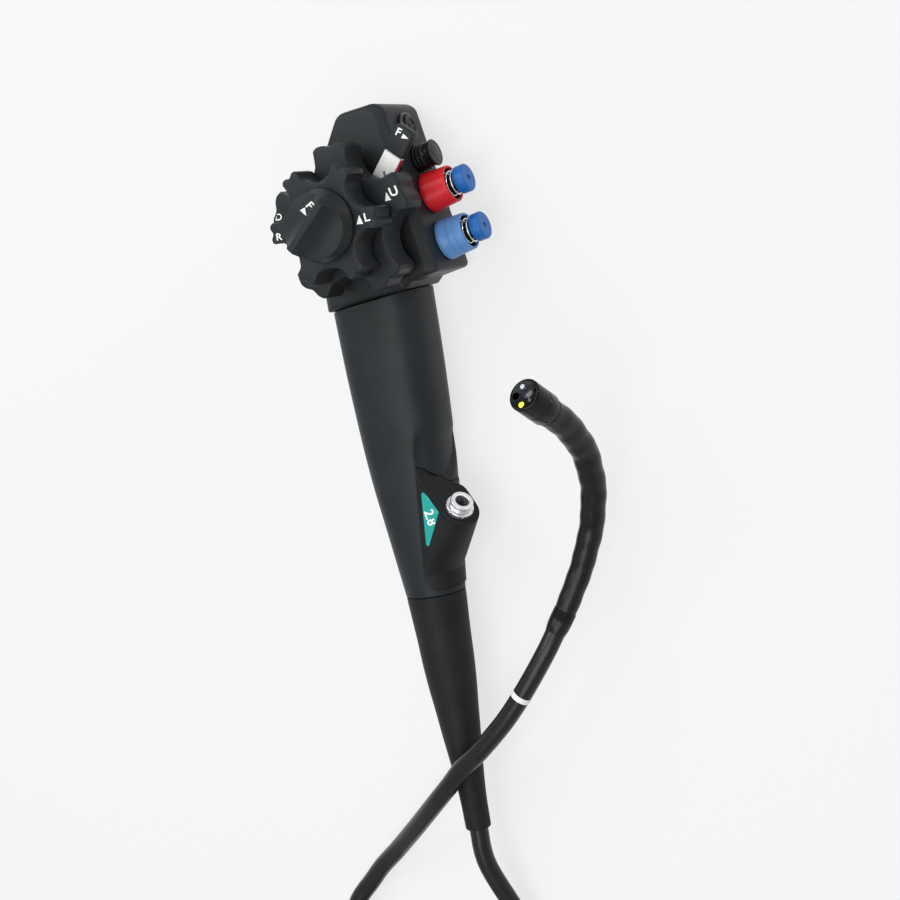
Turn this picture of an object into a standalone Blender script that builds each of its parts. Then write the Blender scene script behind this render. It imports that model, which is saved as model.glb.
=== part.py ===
# Flexible endoscope lying on its flat back: control section, insertion tube and bending section.
# Metres, +Z up along the axis of the angulation knobs, +Y towards the top of the head,
# +X towards the valves. The origin is the foot of the knob axis on the resting plane.

import math

import bmesh
import bpy
from mathutils import Matrix, Vector

# General
CLEAR = 0.0003                  # gap between pieces that touch
COLLECTION = "flexible_endoscope"

# Head of the control section, in its own frame, which leans from the grip
HEAD_LEAN = math.radians(10.0)
HEAD_FRONT = 0.0370             # height of the front face
HEAD_WALL = 0.0024
HEAD_EDGE = 0.0030              # rounding of the front edge
BACK_PLATE = 0.0030
VALVE_WALL_X = 0.0250           # side wall that carries the valves
VALVE_STEP = 0.0046             # set-back of the front plate from that wall
HEAD_BOTTOM = -0.0310
HEAD_TOP = 0.0452
SEAM_Y = -0.0335                # right end of the seam with the grip, in the head's own coordinates
SEAM_TILT = math.radians(3.4)   # rise of the seam towards the far side of the head
BACK_INSET = 0.0026             # rounding of the back edge
CHEEK = 0.0060                  # rounding of the front edge beside the neck, away from the valves

# Knob stack, along the knob axis
POST_R = 0.0024
LR_SHAFT_R = 0.0042
UD_SHAFT_R = 0.0062
UD_KNOB_Z = 0.0430
UD_KNOB_H = 0.0140
UD_KNOB_R = 0.0327
UD_LOBES = 5
UD_PHASE = math.radians(88.8)
UD_VALLEY_R = 0.0215
UD_SCALLOP = 0.0120
KNOB_GAP = 0.0006
LR_KNOB_H = 0.0138
LR_KNOB_R = 0.0254
LR_LOBES = 6
LR_PHASE = math.radians(59.1)
LR_VALLEY_R = 0.0172
LR_SCALLOP = 0.0085
LOBE_NOTCH = 0.0011
KNOB_EDGE = 0.0014
BRAKE_R = 0.0150
BRAKE_TOP_R = 0.0126
BRAKE_SKIRT_H = 0.0050
BRAKE_H = 0.0135
FIN_ANGLE = math.radians(41.6)
FIN_T = 0.0040
FIN_SCOOP_R = 0.0120
FIN_FLOOR = 0.0062              # height of the scoop floor over the knob's base

# Brake lever of the large knob, between housing and knob
LEVER_ANGLE = math.radians(48.5)
LEVER_T = 0.0034
LEVER_HUB_R = 0.0130
LEVER_W = 0.0084
LEVER_END = 0.0325
TIP_LENGTH = 0.0122
TIP_W = 0.0094
TIP_T = 0.0044

# Sprockets of the wire drive
SPROCKET_TEETH = 12
SPROCKET_R = 0.0092
SPROCKET_TOOTH = 0.0014
SPROCKET_T = 0.0036
LR_SPROCKET_Z = 0.0110
UD_SPROCKET_Z = 0.0190

# Valves, along the head's own X
VALVE_Z = 0.0200
SUCTION_Y = 0.0025
AIR_WATER_Y = -0.0185
SLEEVE_R = 0.0056
SLEEVE_BORE = 0.0047
SLEEVE_LENGTH = 0.0130
COLLAR_R = 0.0088
COLLAR_MOUTH_R = 0.0078
COLLAR_LENGTH = 0.0106
COLLAR_BORE = 0.0068
STEM_R = 0.0036
PISTON_R = 0.0044
CAP_R = 0.0055
CAP_LENGTH = 0.0048
CAP_GAP = 0.0044                # free length of stem between collar and cap
SPRING_R = 0.0052
SPRING_WIRE = 0.00045
SPRING_TURNS = 4
VALVE_TRAVEL = 0.0045

# Switches
SWITCH_Y = 0.0188
SWITCH_R = 0.0060
SWITCH_LENGTH = 0.0060
SWITCH_BUTTON_R = 0.0048
SWITCH_BUTTON_OUT = 0.0034
FREEZE_Y = 0.0320
FREEZE_R = 0.0062
FREEZE_BUTTON_R = 0.0046

# Grip and bend protector, along -Y
GRIP_X = -0.0075
GRIP_Z = 0.0185
GRIP_WALL = 0.0022
GRIP_SHAPE = (                  # distance from the knob axis, half width, half depth, squareness
    (0.0332, 0.0213, 0.0185, 2.9),
    (0.0600, 0.0209, 0.0183, 2.8),
    (0.0780, 0.0204, 0.0180, 2.7),
    (0.0990, 0.0195, 0.0174, 2.6),
    (0.1150, 0.0184, 0.0166, 2.5),
    (0.1350, 0.0164, 0.0154, 2.3),
    (0.1530, 0.0146, 0.0142, 2.15),
    (0.1657, 0.0134, 0.0133, 2.0),
)
BOOT_SHAPE = (                  # distance from the knob axis, radius
    (0.1660, 0.0134),
    (0.1860, 0.0122),
    (0.1980, 0.0117),
    (0.2090, 0.0109),
    (0.2200, 0.0098),
    (0.2310, 0.0088),
    (0.2480, 0.0071),
    (0.2620, 0.0061),
    (0.2760, 0.0058),
)
BOOT_WALL = 0.0030
SECTION_POINTS = 32
GRIP_FAIR = 0.0450              # length over which the lean of the seam fades out

# Instrument channel port on its shoulder
PORT_TOP = Vector((0.0210, -0.1240, 0.0330))
PORT_DIR = Vector((0.62, 0.68, 0.39)).normalized()
PORT_RIM_R = 0.0050
PORT_NECK_R = 0.0042
PORT_FLANGE_R = 0.0062
PORT_BORE = 0.0030
PORT_RIM_T = 0.0014
PORT_NECK_H = 0.0020
PORT_FLANGE_T = 0.0020
SHOULDER_SHAPE = (              # distance behind the seat, radius
    (0.0000, 0.0086),
    (0.0006, 0.0092),
    (0.0050, 0.0095),
)
RAMP_END = 0.1510               # lower end of the ramp from the panel up to the seat
SCOOP_START = 0.0080            # flat floor around the seat before the scoop curves up to the grip
SCOOP_R = 0.0253
PANEL_RISE = 0.0006             # height of the port housing over the grip
PANEL_DEPTH = 0.0060            # reach of the port housing below the grip's middle
PORT_WALL = 0.0060              # thickness of the port housing under its skin
PANEL_OUTLINE = (               # area of the port housing seen from the front
    (0.0021, -0.1072), (0.0008, -0.1170), (-0.0005, -0.1270), (-0.0026, -0.1430), (-0.0041, -0.1550),
    (-0.0041, -0.1590), (-0.0026, -0.1617), (0.0000, -0.1628), (0.0200, -0.1628), (0.0200, -0.1184),
    (0.0108, -0.1172), (0.0081, -0.1139), (0.0058, -0.1112), (0.0038, -0.1089),
)

# Universal cord socket, flush in the head's far side
SOCKET_Y = -0.0080
SOCKET_R = 0.0110
SOCKET_BORE = 0.0070

# Insertion tube
TUBE_D = 0.0086
TUBE_POINT_GAP = 0.0175
TUBE_INSERT = 0.0080            # length of tube held inside the bend protector
COIL_CENTRE = Vector((-0.0400, -0.3860, 0.0))
COIL_MEAN_R = 0.0392

RETURN_ROUTE = (                # from the coil, over the bend protector, to the bending section
    (-0.0927, -0.3500, 0.0043), (-0.0905, -0.3210, 0.0044), (-0.0753, -0.3060, 0.0052),
    (-0.0571, -0.2903, 0.0100), (-0.0394, -0.2757, 0.0185), (-0.0224, -0.2612, 0.0265),
    (-0.0116, -0.2517, 0.0297), (-0.0030, -0.2436, 0.0315), (0.0070, -0.2362, 0.0322),
    (0.0225, -0.2222, 0.0318), (0.0345, -0.2085, 0.0308),
)

# Bending section
BASE_POINT = Vector((0.0531, -0.1813, 0.0240))
BASE_HEADING = math.radians(59.0)
BASE_PITCH = math.radians(-17.0)
BEND_TILT = math.radians(-23.4)
HINGES = 12
HINGE_PITCH = 0.00967
REST_BEND = (7.2, 10.5, 15.3, 18.5, 18.4, 12.8)   # degrees of each up/down hinge at rest
TIP_REACH = 0.0160
RUBBER_R0 = 0.0049
RUBBER_R1 = 0.0062
RUBBER_WALL = 0.0007
LINK_EAR_T = 0.0004
EAR_R = 0.0017
EAR_EDGE = 0.0004
HINGE_SWING = math.radians(17.0)   # half the opening between two links
TIP_R = 0.0066


def clear_scene():
    for old in list(bpy.data.objects):
        bpy.data.objects.remove(old, do_unlink=True)


def make_collection(name):
    made = bpy.data.collections.new(name)
    bpy.context.scene.collection.children.link(made)
    return made


def material(name, colour, roughness, metallic=0.0):
    made = bpy.data.materials.new(name)
    made.use_nodes = True
    shader = made.node_tree.nodes["Principled BSDF"]
    shader.inputs["Base Color"].default_value = (*colour, 1.0)
    shader.inputs["Roughness"].default_value = roughness
    shader.inputs["Metallic"].default_value = metallic
    made.diffuse_color = (*colour, 1.0)
    return made


def finish_look(obj, look, angle=35.0):
    colour, roughness, metallic = look
    obj.data.materials.clear()
    obj.data.materials.append(material(obj.name, colour, roughness, metallic))
    if obj.type == "MESH":
        obj.data.shade_smooth()
        obj.data.set_sharp_from_angle(angle=math.radians(angle))


def add_object(name, mesh, look, parent=None):
    obj = bpy.data.objects.new(name, mesh)
    parts.objects.link(obj)
    obj.parent = parent
    finish_look(obj, look)
    return obj


def add_cutter(name, mesh, parent=None):
    obj = bpy.data.objects.new(name, mesh)
    cutters.objects.link(obj)
    obj.parent = parent
    obj.hide_render = True
    obj.display_type = "WIRE"
    return obj


def cut(target, cutter, operation="DIFFERENCE"):
    step = target.modifiers.new(cutter.name, "BOOLEAN")
    step.operation = operation
    step.solver = "EXACT"
    step.object = cutter


def mesh_from_rings(name, rings, closed_loop=False):
    # Joins rings of equal count into a skin; the ends are capped unless the rings form a loop.
    bm = bmesh.new()
    rows = [[bm.verts.new(p) for p in ring] for ring in rings]
    count = len(rows[0])
    spans = len(rows) if closed_loop else len(rows) - 1
    for i in range(spans):
        low = rows[i]
        high = rows[(i + 1) % len(rows)]
        for j in range(count):
            k = (j + 1) % count
            bm.faces.new((low[j], low[k], high[k], high[j]))
    if not closed_loop:
        bm.faces.new(list(reversed(rows[0])))
        bm.faces.new(rows[-1])
    bmesh.ops.recalc_face_normals(bm, faces=bm.faces)
    mesh = bpy.data.meshes.new(name)
    bm.to_mesh(mesh)
    bm.free()
    return mesh


def turned_mesh(name, profile, ring=False):
    # A profile of (radius, height) points from top to bottom down its outer side.
    mesh = bpy.data.meshes.new(name)
    edges = [(i, i + 1) for i in range(len(profile) - 1)]
    if ring:
        edges.append((len(profile) - 1, 0))
    mesh.from_pydata([(r, 0.0, z) for r, z in profile], edges, [])
    return mesh


def add_screw(obj, steps):
    spin = obj.modifiers.new("turn", "SCREW")
    spin.axis = "Z"
    spin.angle = 2 * math.pi
    spin.steps = steps
    spin.render_steps = steps
    spin.use_merge_vertices = True
    spin.merge_threshold = 0.00001
    spin.use_smooth_shade = True


def turned(name, profile, look, ring=False, steps=24, parent=None, place=None):
    obj = add_object(name, turned_mesh(name, profile, ring), look, parent)
    add_screw(obj, steps)
    if place is not None:
        obj.matrix_local = place
    return obj


def turned_cutter(name, profile, steps=24, parent=None, place=None):
    obj = add_cutter(name, turned_mesh(name, profile), parent)
    add_screw(obj, steps)
    if place is not None:
        obj.matrix_local = place
    return obj


def along(point, direction, turn=0.0):
    # Placement whose Z axis runs along a direction.
    spin = Vector(direction).to_track_quat("Z", "Y").to_matrix().to_4x4()
    return Matrix.Translation(point) @ spin @ Matrix.Rotation(turn, 4, "Z")


def tube_profile(outer, inner, low, high, edge=0.0):
    if edge == 0.0:
        return [(outer, high), (outer, low), (inner, low), (inner, high)]
    return [(outer - edge, high), (outer, high - edge), (outer, low + edge), (outer - edge, low),
            (inner, low), (inner, high)]


def rod_profile(radius, low, high, edge=0.0):
    if edge == 0.0:
        return [(0.0, high), (radius, high), (radius, low), (0.0, low)]
    return [(0.0, high), (radius - edge, high), (radius, high - edge), (radius, low + edge),
            (radius - edge, low), (0.0, low)]


def rounded_outline(corners, steps=4):
    # Corners are (x, y, fillet radius), counter-clockwise; each fillet becomes an arc.
    outline = []
    count = len(corners)
    for i, (x, y, radius) in enumerate(corners):
        here = Vector((x, y))
        back = (Vector(corners[i - 1][:2]) - here).normalized()
        ahead = (Vector(corners[(i + 1) % count][:2]) - here).normalized()
        half = back.angle(ahead) / 2
        reach = radius / math.tan(half)
        start = here + back * reach
        end = here + ahead * reach
        centre = here + (back + ahead).normalized() * (radius / math.sin(half))
        first = start - centre
        sweep = first.angle_signed(end - centre)
        for step in range(steps + 1):
            outline.append(centre + Matrix.Rotation(-sweep * step / steps, 2) @ first)
    return outline


def plate_mesh(name, outline, low, high, edge=0.0):
    # A flat plate, its top edge rounded when an edge size is given.
    bm = bmesh.new()
    base = [bm.verts.new((p[0], p[1], low)) for p in outline]
    face = bm.faces.new(base)
    made = bmesh.ops.extrude_face_region(bm, geom=[face])
    top = [v for v in made["geom"] if isinstance(v, bmesh.types.BMVert)]
    bmesh.ops.translate(bm, verts=top, vec=(0, 0, high - low))
    if edge:
        rim = [e for e in bm.edges if all(v.co.z > high - 1e-7 for v in e.verts)]
        bmesh.ops.bevel(bm, geom=rim, offset=edge, segments=3, profile=0.5, affect="EDGES")
    bmesh.ops.recalc_face_normals(bm, faces=bm.faces)
    mesh = bpy.data.meshes.new(name)
    bm.to_mesh(mesh)
    bm.free()
    return mesh


def smooth_points(route, gap):
    # Even points on a smooth curve through the route's own points.
    dense = []
    padded = [route[0] * 2 - route[1]] + list(route) + [route[-1] * 2 - route[-2]]
    for i in range(1, len(padded) - 2):
        a, b, c, d = padded[i - 1:i + 3]
        for step in range(24):
            t = step / 24
            dense.append(0.5 * ((2 * b) + (c - a) * t + (2 * a - 5 * b + 4 * c - d) * t * t
                                + (3 * b - a - 3 * c + d) * t ** 3))
    dense.append(route[-1].copy())
    lengths = [0.0]
    for a, b in zip(dense, dense[1:]):
        lengths.append(lengths[-1] + (b - a).length)
    count = max(2, round(lengths[-1] / gap))
    even = []
    i = 0
    for step in range(count + 1):
        want = lengths[-1] * step / count
        while i < len(lengths) - 2 and lengths[i + 1] < want:
            i += 1
        share = (want - lengths[i]) / max(1e-9, lengths[i + 1] - lengths[i])
        even.append(dense[i].lerp(dense[i + 1], share))
    return even


def tube_along(name, points, radius, look, resolution=2):
    curve = bpy.data.curves.new(name, "CURVE")
    curve.dimensions = "3D"
    curve.bevel_depth = radius
    curve.bevel_resolution = resolution
    curve.use_fill_caps = True
    spline = curve.splines.new("POLY")
    spline.points.add(len(points) - 1)
    for slot, p in zip(spline.points, points):
        slot.co = (*p, 1.0)
    obj = bpy.data.objects.new(name, curve)
    parts.objects.link(obj)
    finish_look(obj, look)
    return obj


# Looks: colour, roughness, metallic
BLACK_RESIN = ((0.022, 0.024, 0.025), 0.42, 0.0)
BLACK_SOFT = ((0.016, 0.017, 0.018), 0.55, 0.0)
BLACK_GLOSS = ((0.010, 0.010, 0.012), 0.15, 0.0)
STEEL = ((0.70, 0.71, 0.73), 0.22, 1.0)
DARK_STEEL = ((0.32, 0.33, 0.35), 0.35, 1.0)
WHITE_RESIN = ((0.82, 0.82, 0.80), 0.35, 0.0)
RED_RESIN = ((0.62, 0.015, 0.03), 0.40, 0.0)
PALE_BLUE = ((0.11, 0.27, 0.72), 0.40, 0.0)
BRIGHT_BLUE = ((0.015, 0.16, 0.62), 0.35, 0.0)
GLASS_DARK = ((0.02, 0.02, 0.05), 0.05, 0.0)
LIGHT_YELLOW = ((0.80, 0.85, 0.10), 0.30, 0.0)
BRASS = ((0.62, 0.47, 0.20), 0.35, 1.0)


def neck_x(side):
    # Where a side of the grip crosses the seam, in the head's own coordinates.
    at = GRIP_X + side * GRIP_SHAPE[0][1]
    return (at + SEAM_Y * math.sin(HEAD_LEAN)) / math.cos(HEAD_LEAN)


def head_outline(inset=0.0, chamfer=0.0, cheek=0.0):
    # Outline of the head, drawn in all round, more so at the valve wall and at the far side of the neck.
    grow = -inset
    right = neck_x(1) + grow
    left = neck_x(-1) - grow
    foot = SEAM_Y + CLEAR - grow
    far_foot = foot + (right - left) * math.tan(SEAM_TILT)
    wall = VALVE_WALL_X + grow - chamfer
    corners = (
        (wall, HEAD_BOTTOM - grow, 0.0022),
        (wall, HEAD_TOP - 0.0040 + grow, 0.0050),
        (wall - 0.0040, HEAD_TOP - 0.0010 + grow, 0.0060),
        (0.0035, HEAD_TOP + 0.0008 + grow, 0.0060),
        (-0.0300 - grow, 0.0090, 0.0120),
        (-0.0315 - grow + 0.5 * cheek, -0.0180, 0.0200),
        (left + cheek, far_foot, 0.0010),
        (right, foot, 0.0010),
        (0.0115 + grow, HEAD_BOTTOM - grow, 0.0020),
    )
    return rounded_outline(corners)


def head_solid(inset, low, high):
    # Body of the head with rounded front and back edges, chamfered towards the valves.
    rings = []
    for z, draw, chamfer, cheek in ((low, 0.3 * BACK_INSET, 0.2 * BACK_INSET, 0.0),
                                    (low + BACK_INSET, 0.0, 0.0, 0.0),
                                    (0.7 * high, 0.0, 0.0, 0.0),
                                    (high - HEAD_EDGE, 0.0, 0.0, 0.4 * CHEEK),
                                    (high - 0.6 * HEAD_EDGE, 0.05 * HEAD_EDGE, 0.0, 0.55 * CHEEK),
                                    (high - 0.25 * HEAD_EDGE, 0.35 * HEAD_EDGE, 0.35 * VALVE_STEP, 0.75 * CHEEK),
                                    (high, HEAD_EDGE, VALVE_STEP - HEAD_EDGE, 0.9 * CHEEK)):
        rings.append([(p.x, p.y, z) for p in head_outline(inset + draw, chamfer, cheek)])
    return rings


def build_head():
    low = BACK_PLATE + CLEAR
    housing = add_object("head_housing", mesh_from_rings("head_housing", head_solid(0.0, low, HEAD_FRONT)),
                         BLACK_RESIN, head)
    hollow = head_solid(HEAD_WALL, low - 0.0100, HEAD_FRONT - HEAD_WALL)
    cut(housing, add_cutter("head_hollow", mesh_from_rings("head_hollow", hollow), head))
    post_hole = turned_cutter("post_hole", rod_profile(UD_SHAFT_R + CLEAR, HEAD_FRONT - 0.006,
                                                       HEAD_FRONT + 0.004), 28, head)
    cut(housing, post_hole)
    for name, y, radius in (("suction_hole", SUCTION_Y, SLEEVE_R), ("air_water_hole", AIR_WATER_Y, SLEEVE_R),
                            ("switch_hole", SWITCH_Y, SWITCH_BUTTON_R),
                            ("freeze_hole", FREEZE_Y, FREEZE_BUTTON_R)):
        place = along((VALVE_WALL_X, y, VALVE_Z), (1, 0, 0))
        cut(housing, turned_cutter(name, rod_profile(radius + CLEAR, -0.006, 0.006), 24, head, place))
    place = along((-0.0300, SOCKET_Y, VALVE_Z), (-1, 0, 0))
    cut(housing, turned_cutter("socket_hole", rod_profile(SOCKET_R, -0.008, 0.008), 28, head, place))
    neck = along(((neck_x(1) + neck_x(-1)) / 2, SEAM_Y, GRIP_Z), (0, -1, 0))
    cut(housing, turned_cutter("neck_hole", rod_profile(0.0120, -0.012, 0.012), 24, head, neck))
    cover = []
    for z, share in ((0.0, 1.0), (0.25 * BACK_PLATE, 0.8), (BACK_PLATE, 0.35)):
        cover.append([(p.x, p.y, z) for p in head_outline(share * BACK_INSET, 0.6 * share * BACK_INSET)])
    add_object("back_cover", mesh_from_rings("back_cover", cover), BLACK_RESIN, head)


def build_frame():
    # Metal chassis: a plate on the back cover, with the fixed post of the knob stack.
    low = BACK_PLATE + CLEAR
    high = low + 0.0020
    add_object("chassis_plate", plate_mesh("chassis_plate", rounded_outline((
        (0.0190, -0.0250, 0.004), (0.0190, 0.0200, 0.004), (-0.0180, 0.0100, 0.004),
        (-0.0240, -0.0220, 0.004)), 3), low, high), DARK_STEEL, head)
    top = UD_KNOB_Z + UD_KNOB_H + KNOB_GAP + LR_KNOB_H + KNOB_GAP + BRAKE_SKIRT_H
    turned("knob_post", [(0.0, top), (POST_R, top), (POST_R, high + 0.002 + CLEAR), (0.0060, high + 0.002 + CLEAR),
                         (0.0060, high + CLEAR), (0.0, high + CLEAR)], STEEL)


def lobed_outline(radius, lobes, phase, valley, scallop, inset=0.0):
    # Round knob cut by a scallop between each pair of lobes, a shallow notch on each lobe.
    outline = []
    pitch = 2 * math.pi / lobes
    centre = valley + scallop
    edge_angle = math.acos((radius ** 2 + centre ** 2 - scallop ** 2) / (2 * radius * centre))
    lobe_half = pitch / 2 - edge_angle
    for lobe in range(lobes):
        middle = phase + lobe * pitch
        for share in (-1.0, -0.72, -0.36, 0.0, 0.36, 0.72):
            soft = 0.0012 * max(0.0, abs(share) - 0.72) / 0.28
            notch = LOBE_NOTCH * max(0.0, 1.0 - abs(share) / 0.5)
            outline.append((radius - inset - notch - soft, middle + share * lobe_half))
        for step in range(9):
            share = step / 8
            swing = edge_angle * (2 * share - 1)
            across = scallop ** 2 - (centre * math.sin(swing)) ** 2
            reach = centre * math.cos(swing) - math.sqrt(max(0.0, across))
            soft = 0.0012 if step in (0, 8) else 0.0
            outline.append((reach - inset - soft, middle + pitch / 2 + swing))
    return [(r * math.cos(a), r * math.sin(a)) for r, a in outline]


def lobed_knob(name, radius, lobes, phase, valley, scallop, low, height, bore, look):
    high = low + height
    rings = []
    for inset, z in ((KNOB_EDGE, low), (0.0004, low + 0.0004), (0.0, low + KNOB_EDGE),
                     (0.0, high - KNOB_EDGE), (0.0004, high - 0.0004), (KNOB_EDGE, high)):
        flat = lobed_outline(radius, lobes, phase, valley, scallop, inset)
        rings.append([(x, y, z) for x, y in flat])
    angles = [math.atan2(y, x) for x, y, z in rings[0]]
    for z in (high, low):
        rings.append([(bore * math.cos(a), bore * math.sin(a), z) for a in angles])
    obj = add_object(name, mesh_from_rings(name, rings, closed_loop=True), look)
    return obj


def build_knobs():
    lr_low = UD_KNOB_Z + UD_KNOB_H + KNOB_GAP
    brake_low = lr_low + LR_KNOB_H + KNOB_GAP
    lobed_knob("ud_knob", UD_KNOB_R, UD_LOBES, UD_PHASE, UD_VALLEY_R, UD_SCALLOP, UD_KNOB_Z, UD_KNOB_H,
               UD_SHAFT_R + CLEAR, BLACK_RESIN)
    lobed_knob("lr_knob", LR_KNOB_R, LR_LOBES, LR_PHASE, LR_VALLEY_R, LR_SCALLOP, lr_low, LR_KNOB_H,
               LR_SHAFT_R + CLEAR, BLACK_RESIN)
    turned("ud_shaft", tube_profile(UD_SHAFT_R, LR_SHAFT_R + CLEAR, UD_SPROCKET_Z, UD_KNOB_Z + UD_KNOB_H - 0.001),
           STEEL, True)
    turned("lr_shaft", tube_profile(LR_SHAFT_R, POST_R + CLEAR, LR_SPROCKET_Z, lr_low + LR_KNOB_H - 0.001),
           STEEL, True)
    for name, z, shaft in (("ud_sprocket", UD_SPROCKET_Z, UD_SHAFT_R), ("lr_sprocket", LR_SPROCKET_Z, LR_SHAFT_R)):
        sprocket(name, z, shaft + CLEAR)
    base = brake_low
    top = base + BRAKE_H
    knob = turned("lr_brake_knob", [
        (0.0, top), (BRAKE_TOP_R - 0.0014, top), (BRAKE_TOP_R - 0.0004, top - 0.0004),
        (BRAKE_TOP_R, top - 0.0014), (BRAKE_R - 0.0006, base + 0.0020), (BRAKE_R, base + 0.0012),
        (BRAKE_R, base), (POST_R + CLEAR, base), (POST_R + CLEAR, base + BRAKE_SKIRT_H),
        (0.0, base + BRAKE_SKIRT_H)], BLACK_RESIN, steps=40)
    across = Vector((-math.sin(FIN_ANGLE), math.cos(FIN_ANGLE), 0))
    fin = Vector((math.cos(FIN_ANGLE), math.sin(FIN_ANGLE), 0))
    for side, name in ((1, "fin_scoop_left"), (-1, "fin_scoop_right")):
        centre = across * side * (FIN_T / 2 + FIN_SCOOP_R * 0.86)
        centre.z = base + FIN_FLOOR + FIN_SCOOP_R
        scoop = turned_cutter(name, rod_profile(FIN_SCOOP_R, -0.02, 0.02), 32, None, along(centre, fin))
        cut(knob, scoop)


def sprocket(name, low, bore):
    rings = []
    for z in (low, low + SPROCKET_T):
        rings.append([(r * math.cos(a), r * math.sin(a), z) for r, a in toothed()])
    for z in (low + SPROCKET_T, low):
        rings.append([(bore * math.cos(a), bore * math.sin(a), z) for r, a in toothed()])
    add_object(name, mesh_from_rings(name, rings, closed_loop=True), BRASS)


def toothed():
    points = []
    for tooth in range(SPROCKET_TEETH):
        for share, deep in ((0.0, 1), (0.25, 1), (0.42, 0), (0.83, 0)):
            angle = 2 * math.pi * (tooth + share) / SPROCKET_TEETH
            points.append((SPROCKET_R - deep * SPROCKET_TOOTH, angle))
    return points


def build_lever():
    low = HEAD_FRONT + 0.0007
    high = low + LEVER_T
    direction = Matrix.Rotation(LEVER_ANGLE, 4, "Z")
    hub = UD_SHAFT_R + CLEAR
    outline = []
    half = LEVER_W / 2
    turn = math.asin(half / LEVER_HUB_R)
    for step in range(19):
        angle = turn + (2 * math.pi - 2 * turn) * step / 18
        outline.append((LEVER_HUB_R * math.cos(angle), LEVER_HUB_R * math.sin(angle)))
    outline += [(LEVER_END, -half), (LEVER_END, half)]
    arm = add_object("ud_brake_lever", plate_mesh("ud_brake_lever", outline, low, high), WHITE_RESIN)
    arm.matrix_local = direction
    cut(arm, turned_cutter("lever_hole", rod_profile(hub, low - 0.002, high + 0.002), 28))
    tip_low = low - 0.0003
    tip = add_object("ud_brake_tip", plate_mesh("ud_brake_tip", rounded_outline((
        (LEVER_END + CLEAR, -TIP_W / 2, 0.0008), (LEVER_END + CLEAR + TIP_LENGTH, -TIP_W / 2, 0.0016),
        (LEVER_END + CLEAR + TIP_LENGTH, TIP_W / 2, 0.0016), (LEVER_END + CLEAR, TIP_W / 2, 0.0008)), 3),
        tip_low, tip_low + TIP_T, 0.0006), BLACK_RESIN)
    tip.matrix_local = direction


def build_valve(name, y, collar_look, cap_hole):
    outwards = (1, 0, 0)
    place = along((VALVE_WALL_X, y, VALVE_Z), outwards)
    sleeve_low = -SLEEVE_LENGTH
    turned(f"{name}_sleeve", tube_profile(SLEEVE_R, SLEEVE_BORE, sleeve_low, 0.0030), STEEL, True, 20, head, place)
    collar = [(COLLAR_MOUTH_R - 0.0006, COLLAR_LENGTH), (COLLAR_MOUTH_R, COLLAR_LENGTH - 0.0006),
              (COLLAR_R - 0.0002, 0.0030), (COLLAR_R, 0.0016), (COLLAR_R, CLEAR), (SLEEVE_R + CLEAR, CLEAR),
              (SLEEVE_R + CLEAR, 0.0030 + CLEAR), (STEM_R + 0.0020, 0.0030 + CLEAR),
              (STEM_R + 0.0020, 0.0048), (COLLAR_BORE, 0.0048), (COLLAR_BORE, COLLAR_LENGTH)]
    turned(f"{name}_collar", collar, collar_look, True, 28, head, place)
    cap_low = COLLAR_LENGTH + CAP_GAP
    low = sleeve_low + 0.0010 + VALVE_TRAVEL
    turned(f"{name}_piston", [(0.0, cap_low), (STEM_R, cap_low), (STEM_R, 0.0020), (PISTON_R, 0.0010),
                              (PISTON_R, low), (0.0, low)], STEEL, False, 18, head, place)
    high = cap_low + CLEAR + CAP_LENGTH
    dimple = 0.0012 if cap_hole else 0.0
    cap = [(CAP_R - 0.0009, high), (CAP_R, high - 0.0009), (CAP_R, cap_low + 0.0012 + CLEAR),
           (CAP_R - 0.0004, cap_low + CLEAR), (0.0, cap_low + CLEAR)]
    top = [(0.0, high - dimple), (dimple, high - dimple), (dimple, high)] if cap_hole else [(0.0, high)]
    turned(f"{name}_cap", top + cap, BRIGHT_BLUE, False, 24, head, place)
    spring_points = []
    low = 0.0048 + CLEAR + SPRING_WIRE
    length = cap_low - low - SPRING_WIRE
    per_turn = 12
    for step in range(SPRING_TURNS * per_turn + 1):
        angle = 2 * math.pi * step / per_turn
        local = Vector((SPRING_R * math.cos(angle), SPRING_R * math.sin(angle),
                        low + length * step / (SPRING_TURNS * per_turn)))
        spring_points.append(head.matrix_world @ place @ local)
    tube_along(f"{name}_spring", spring_points, SPRING_WIRE, STEEL)


def build_switches():
    place = along((VALVE_WALL_X, SWITCH_Y, VALVE_Z), (1, 0, 0))
    turned("switch_collar", tube_profile(SWITCH_R, SWITCH_BUTTON_R + CLEAR, CLEAR, SWITCH_LENGTH, 0.0006),
           BLACK_SOFT, True, 24, head, place)
    reach = SWITCH_LENGTH + SWITCH_BUTTON_OUT
    turned("switch_button", rod_profile(SWITCH_BUTTON_R, -0.0040, reach, 0.0008), BLACK_GLOSS, False, 24, head, place)
    place = along((VALVE_WALL_X, FREEZE_Y, VALVE_Z), (1, 0, 0))
    turned("freeze_rim", tube_profile(FREEZE_R, FREEZE_BUTTON_R + CLEAR, CLEAR, 0.0018, 0.0005),
           DARK_STEEL, True, 24, head, place)
    turned("freeze_button", rod_profile(FREEZE_BUTTON_R, -0.0040, 0.0028, 0.0008), BLACK_SOFT, False, 24, head, place)


def build_socket():
    # Socket of the light-guide cord, in the far side of the head.
    place = along((-0.0305, SOCKET_Y, VALVE_Z), (-1, 0, 0))
    turned("cord_socket", [
        (SOCKET_R - CLEAR - 0.0006, 0.0008), (SOCKET_R - CLEAR, 0.0002), (SOCKET_R - CLEAR, -0.0060),
        (SOCKET_BORE, -0.0060), (SOCKET_BORE, 0.0008)], DARK_STEEL, True, 28, head, place)


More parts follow.
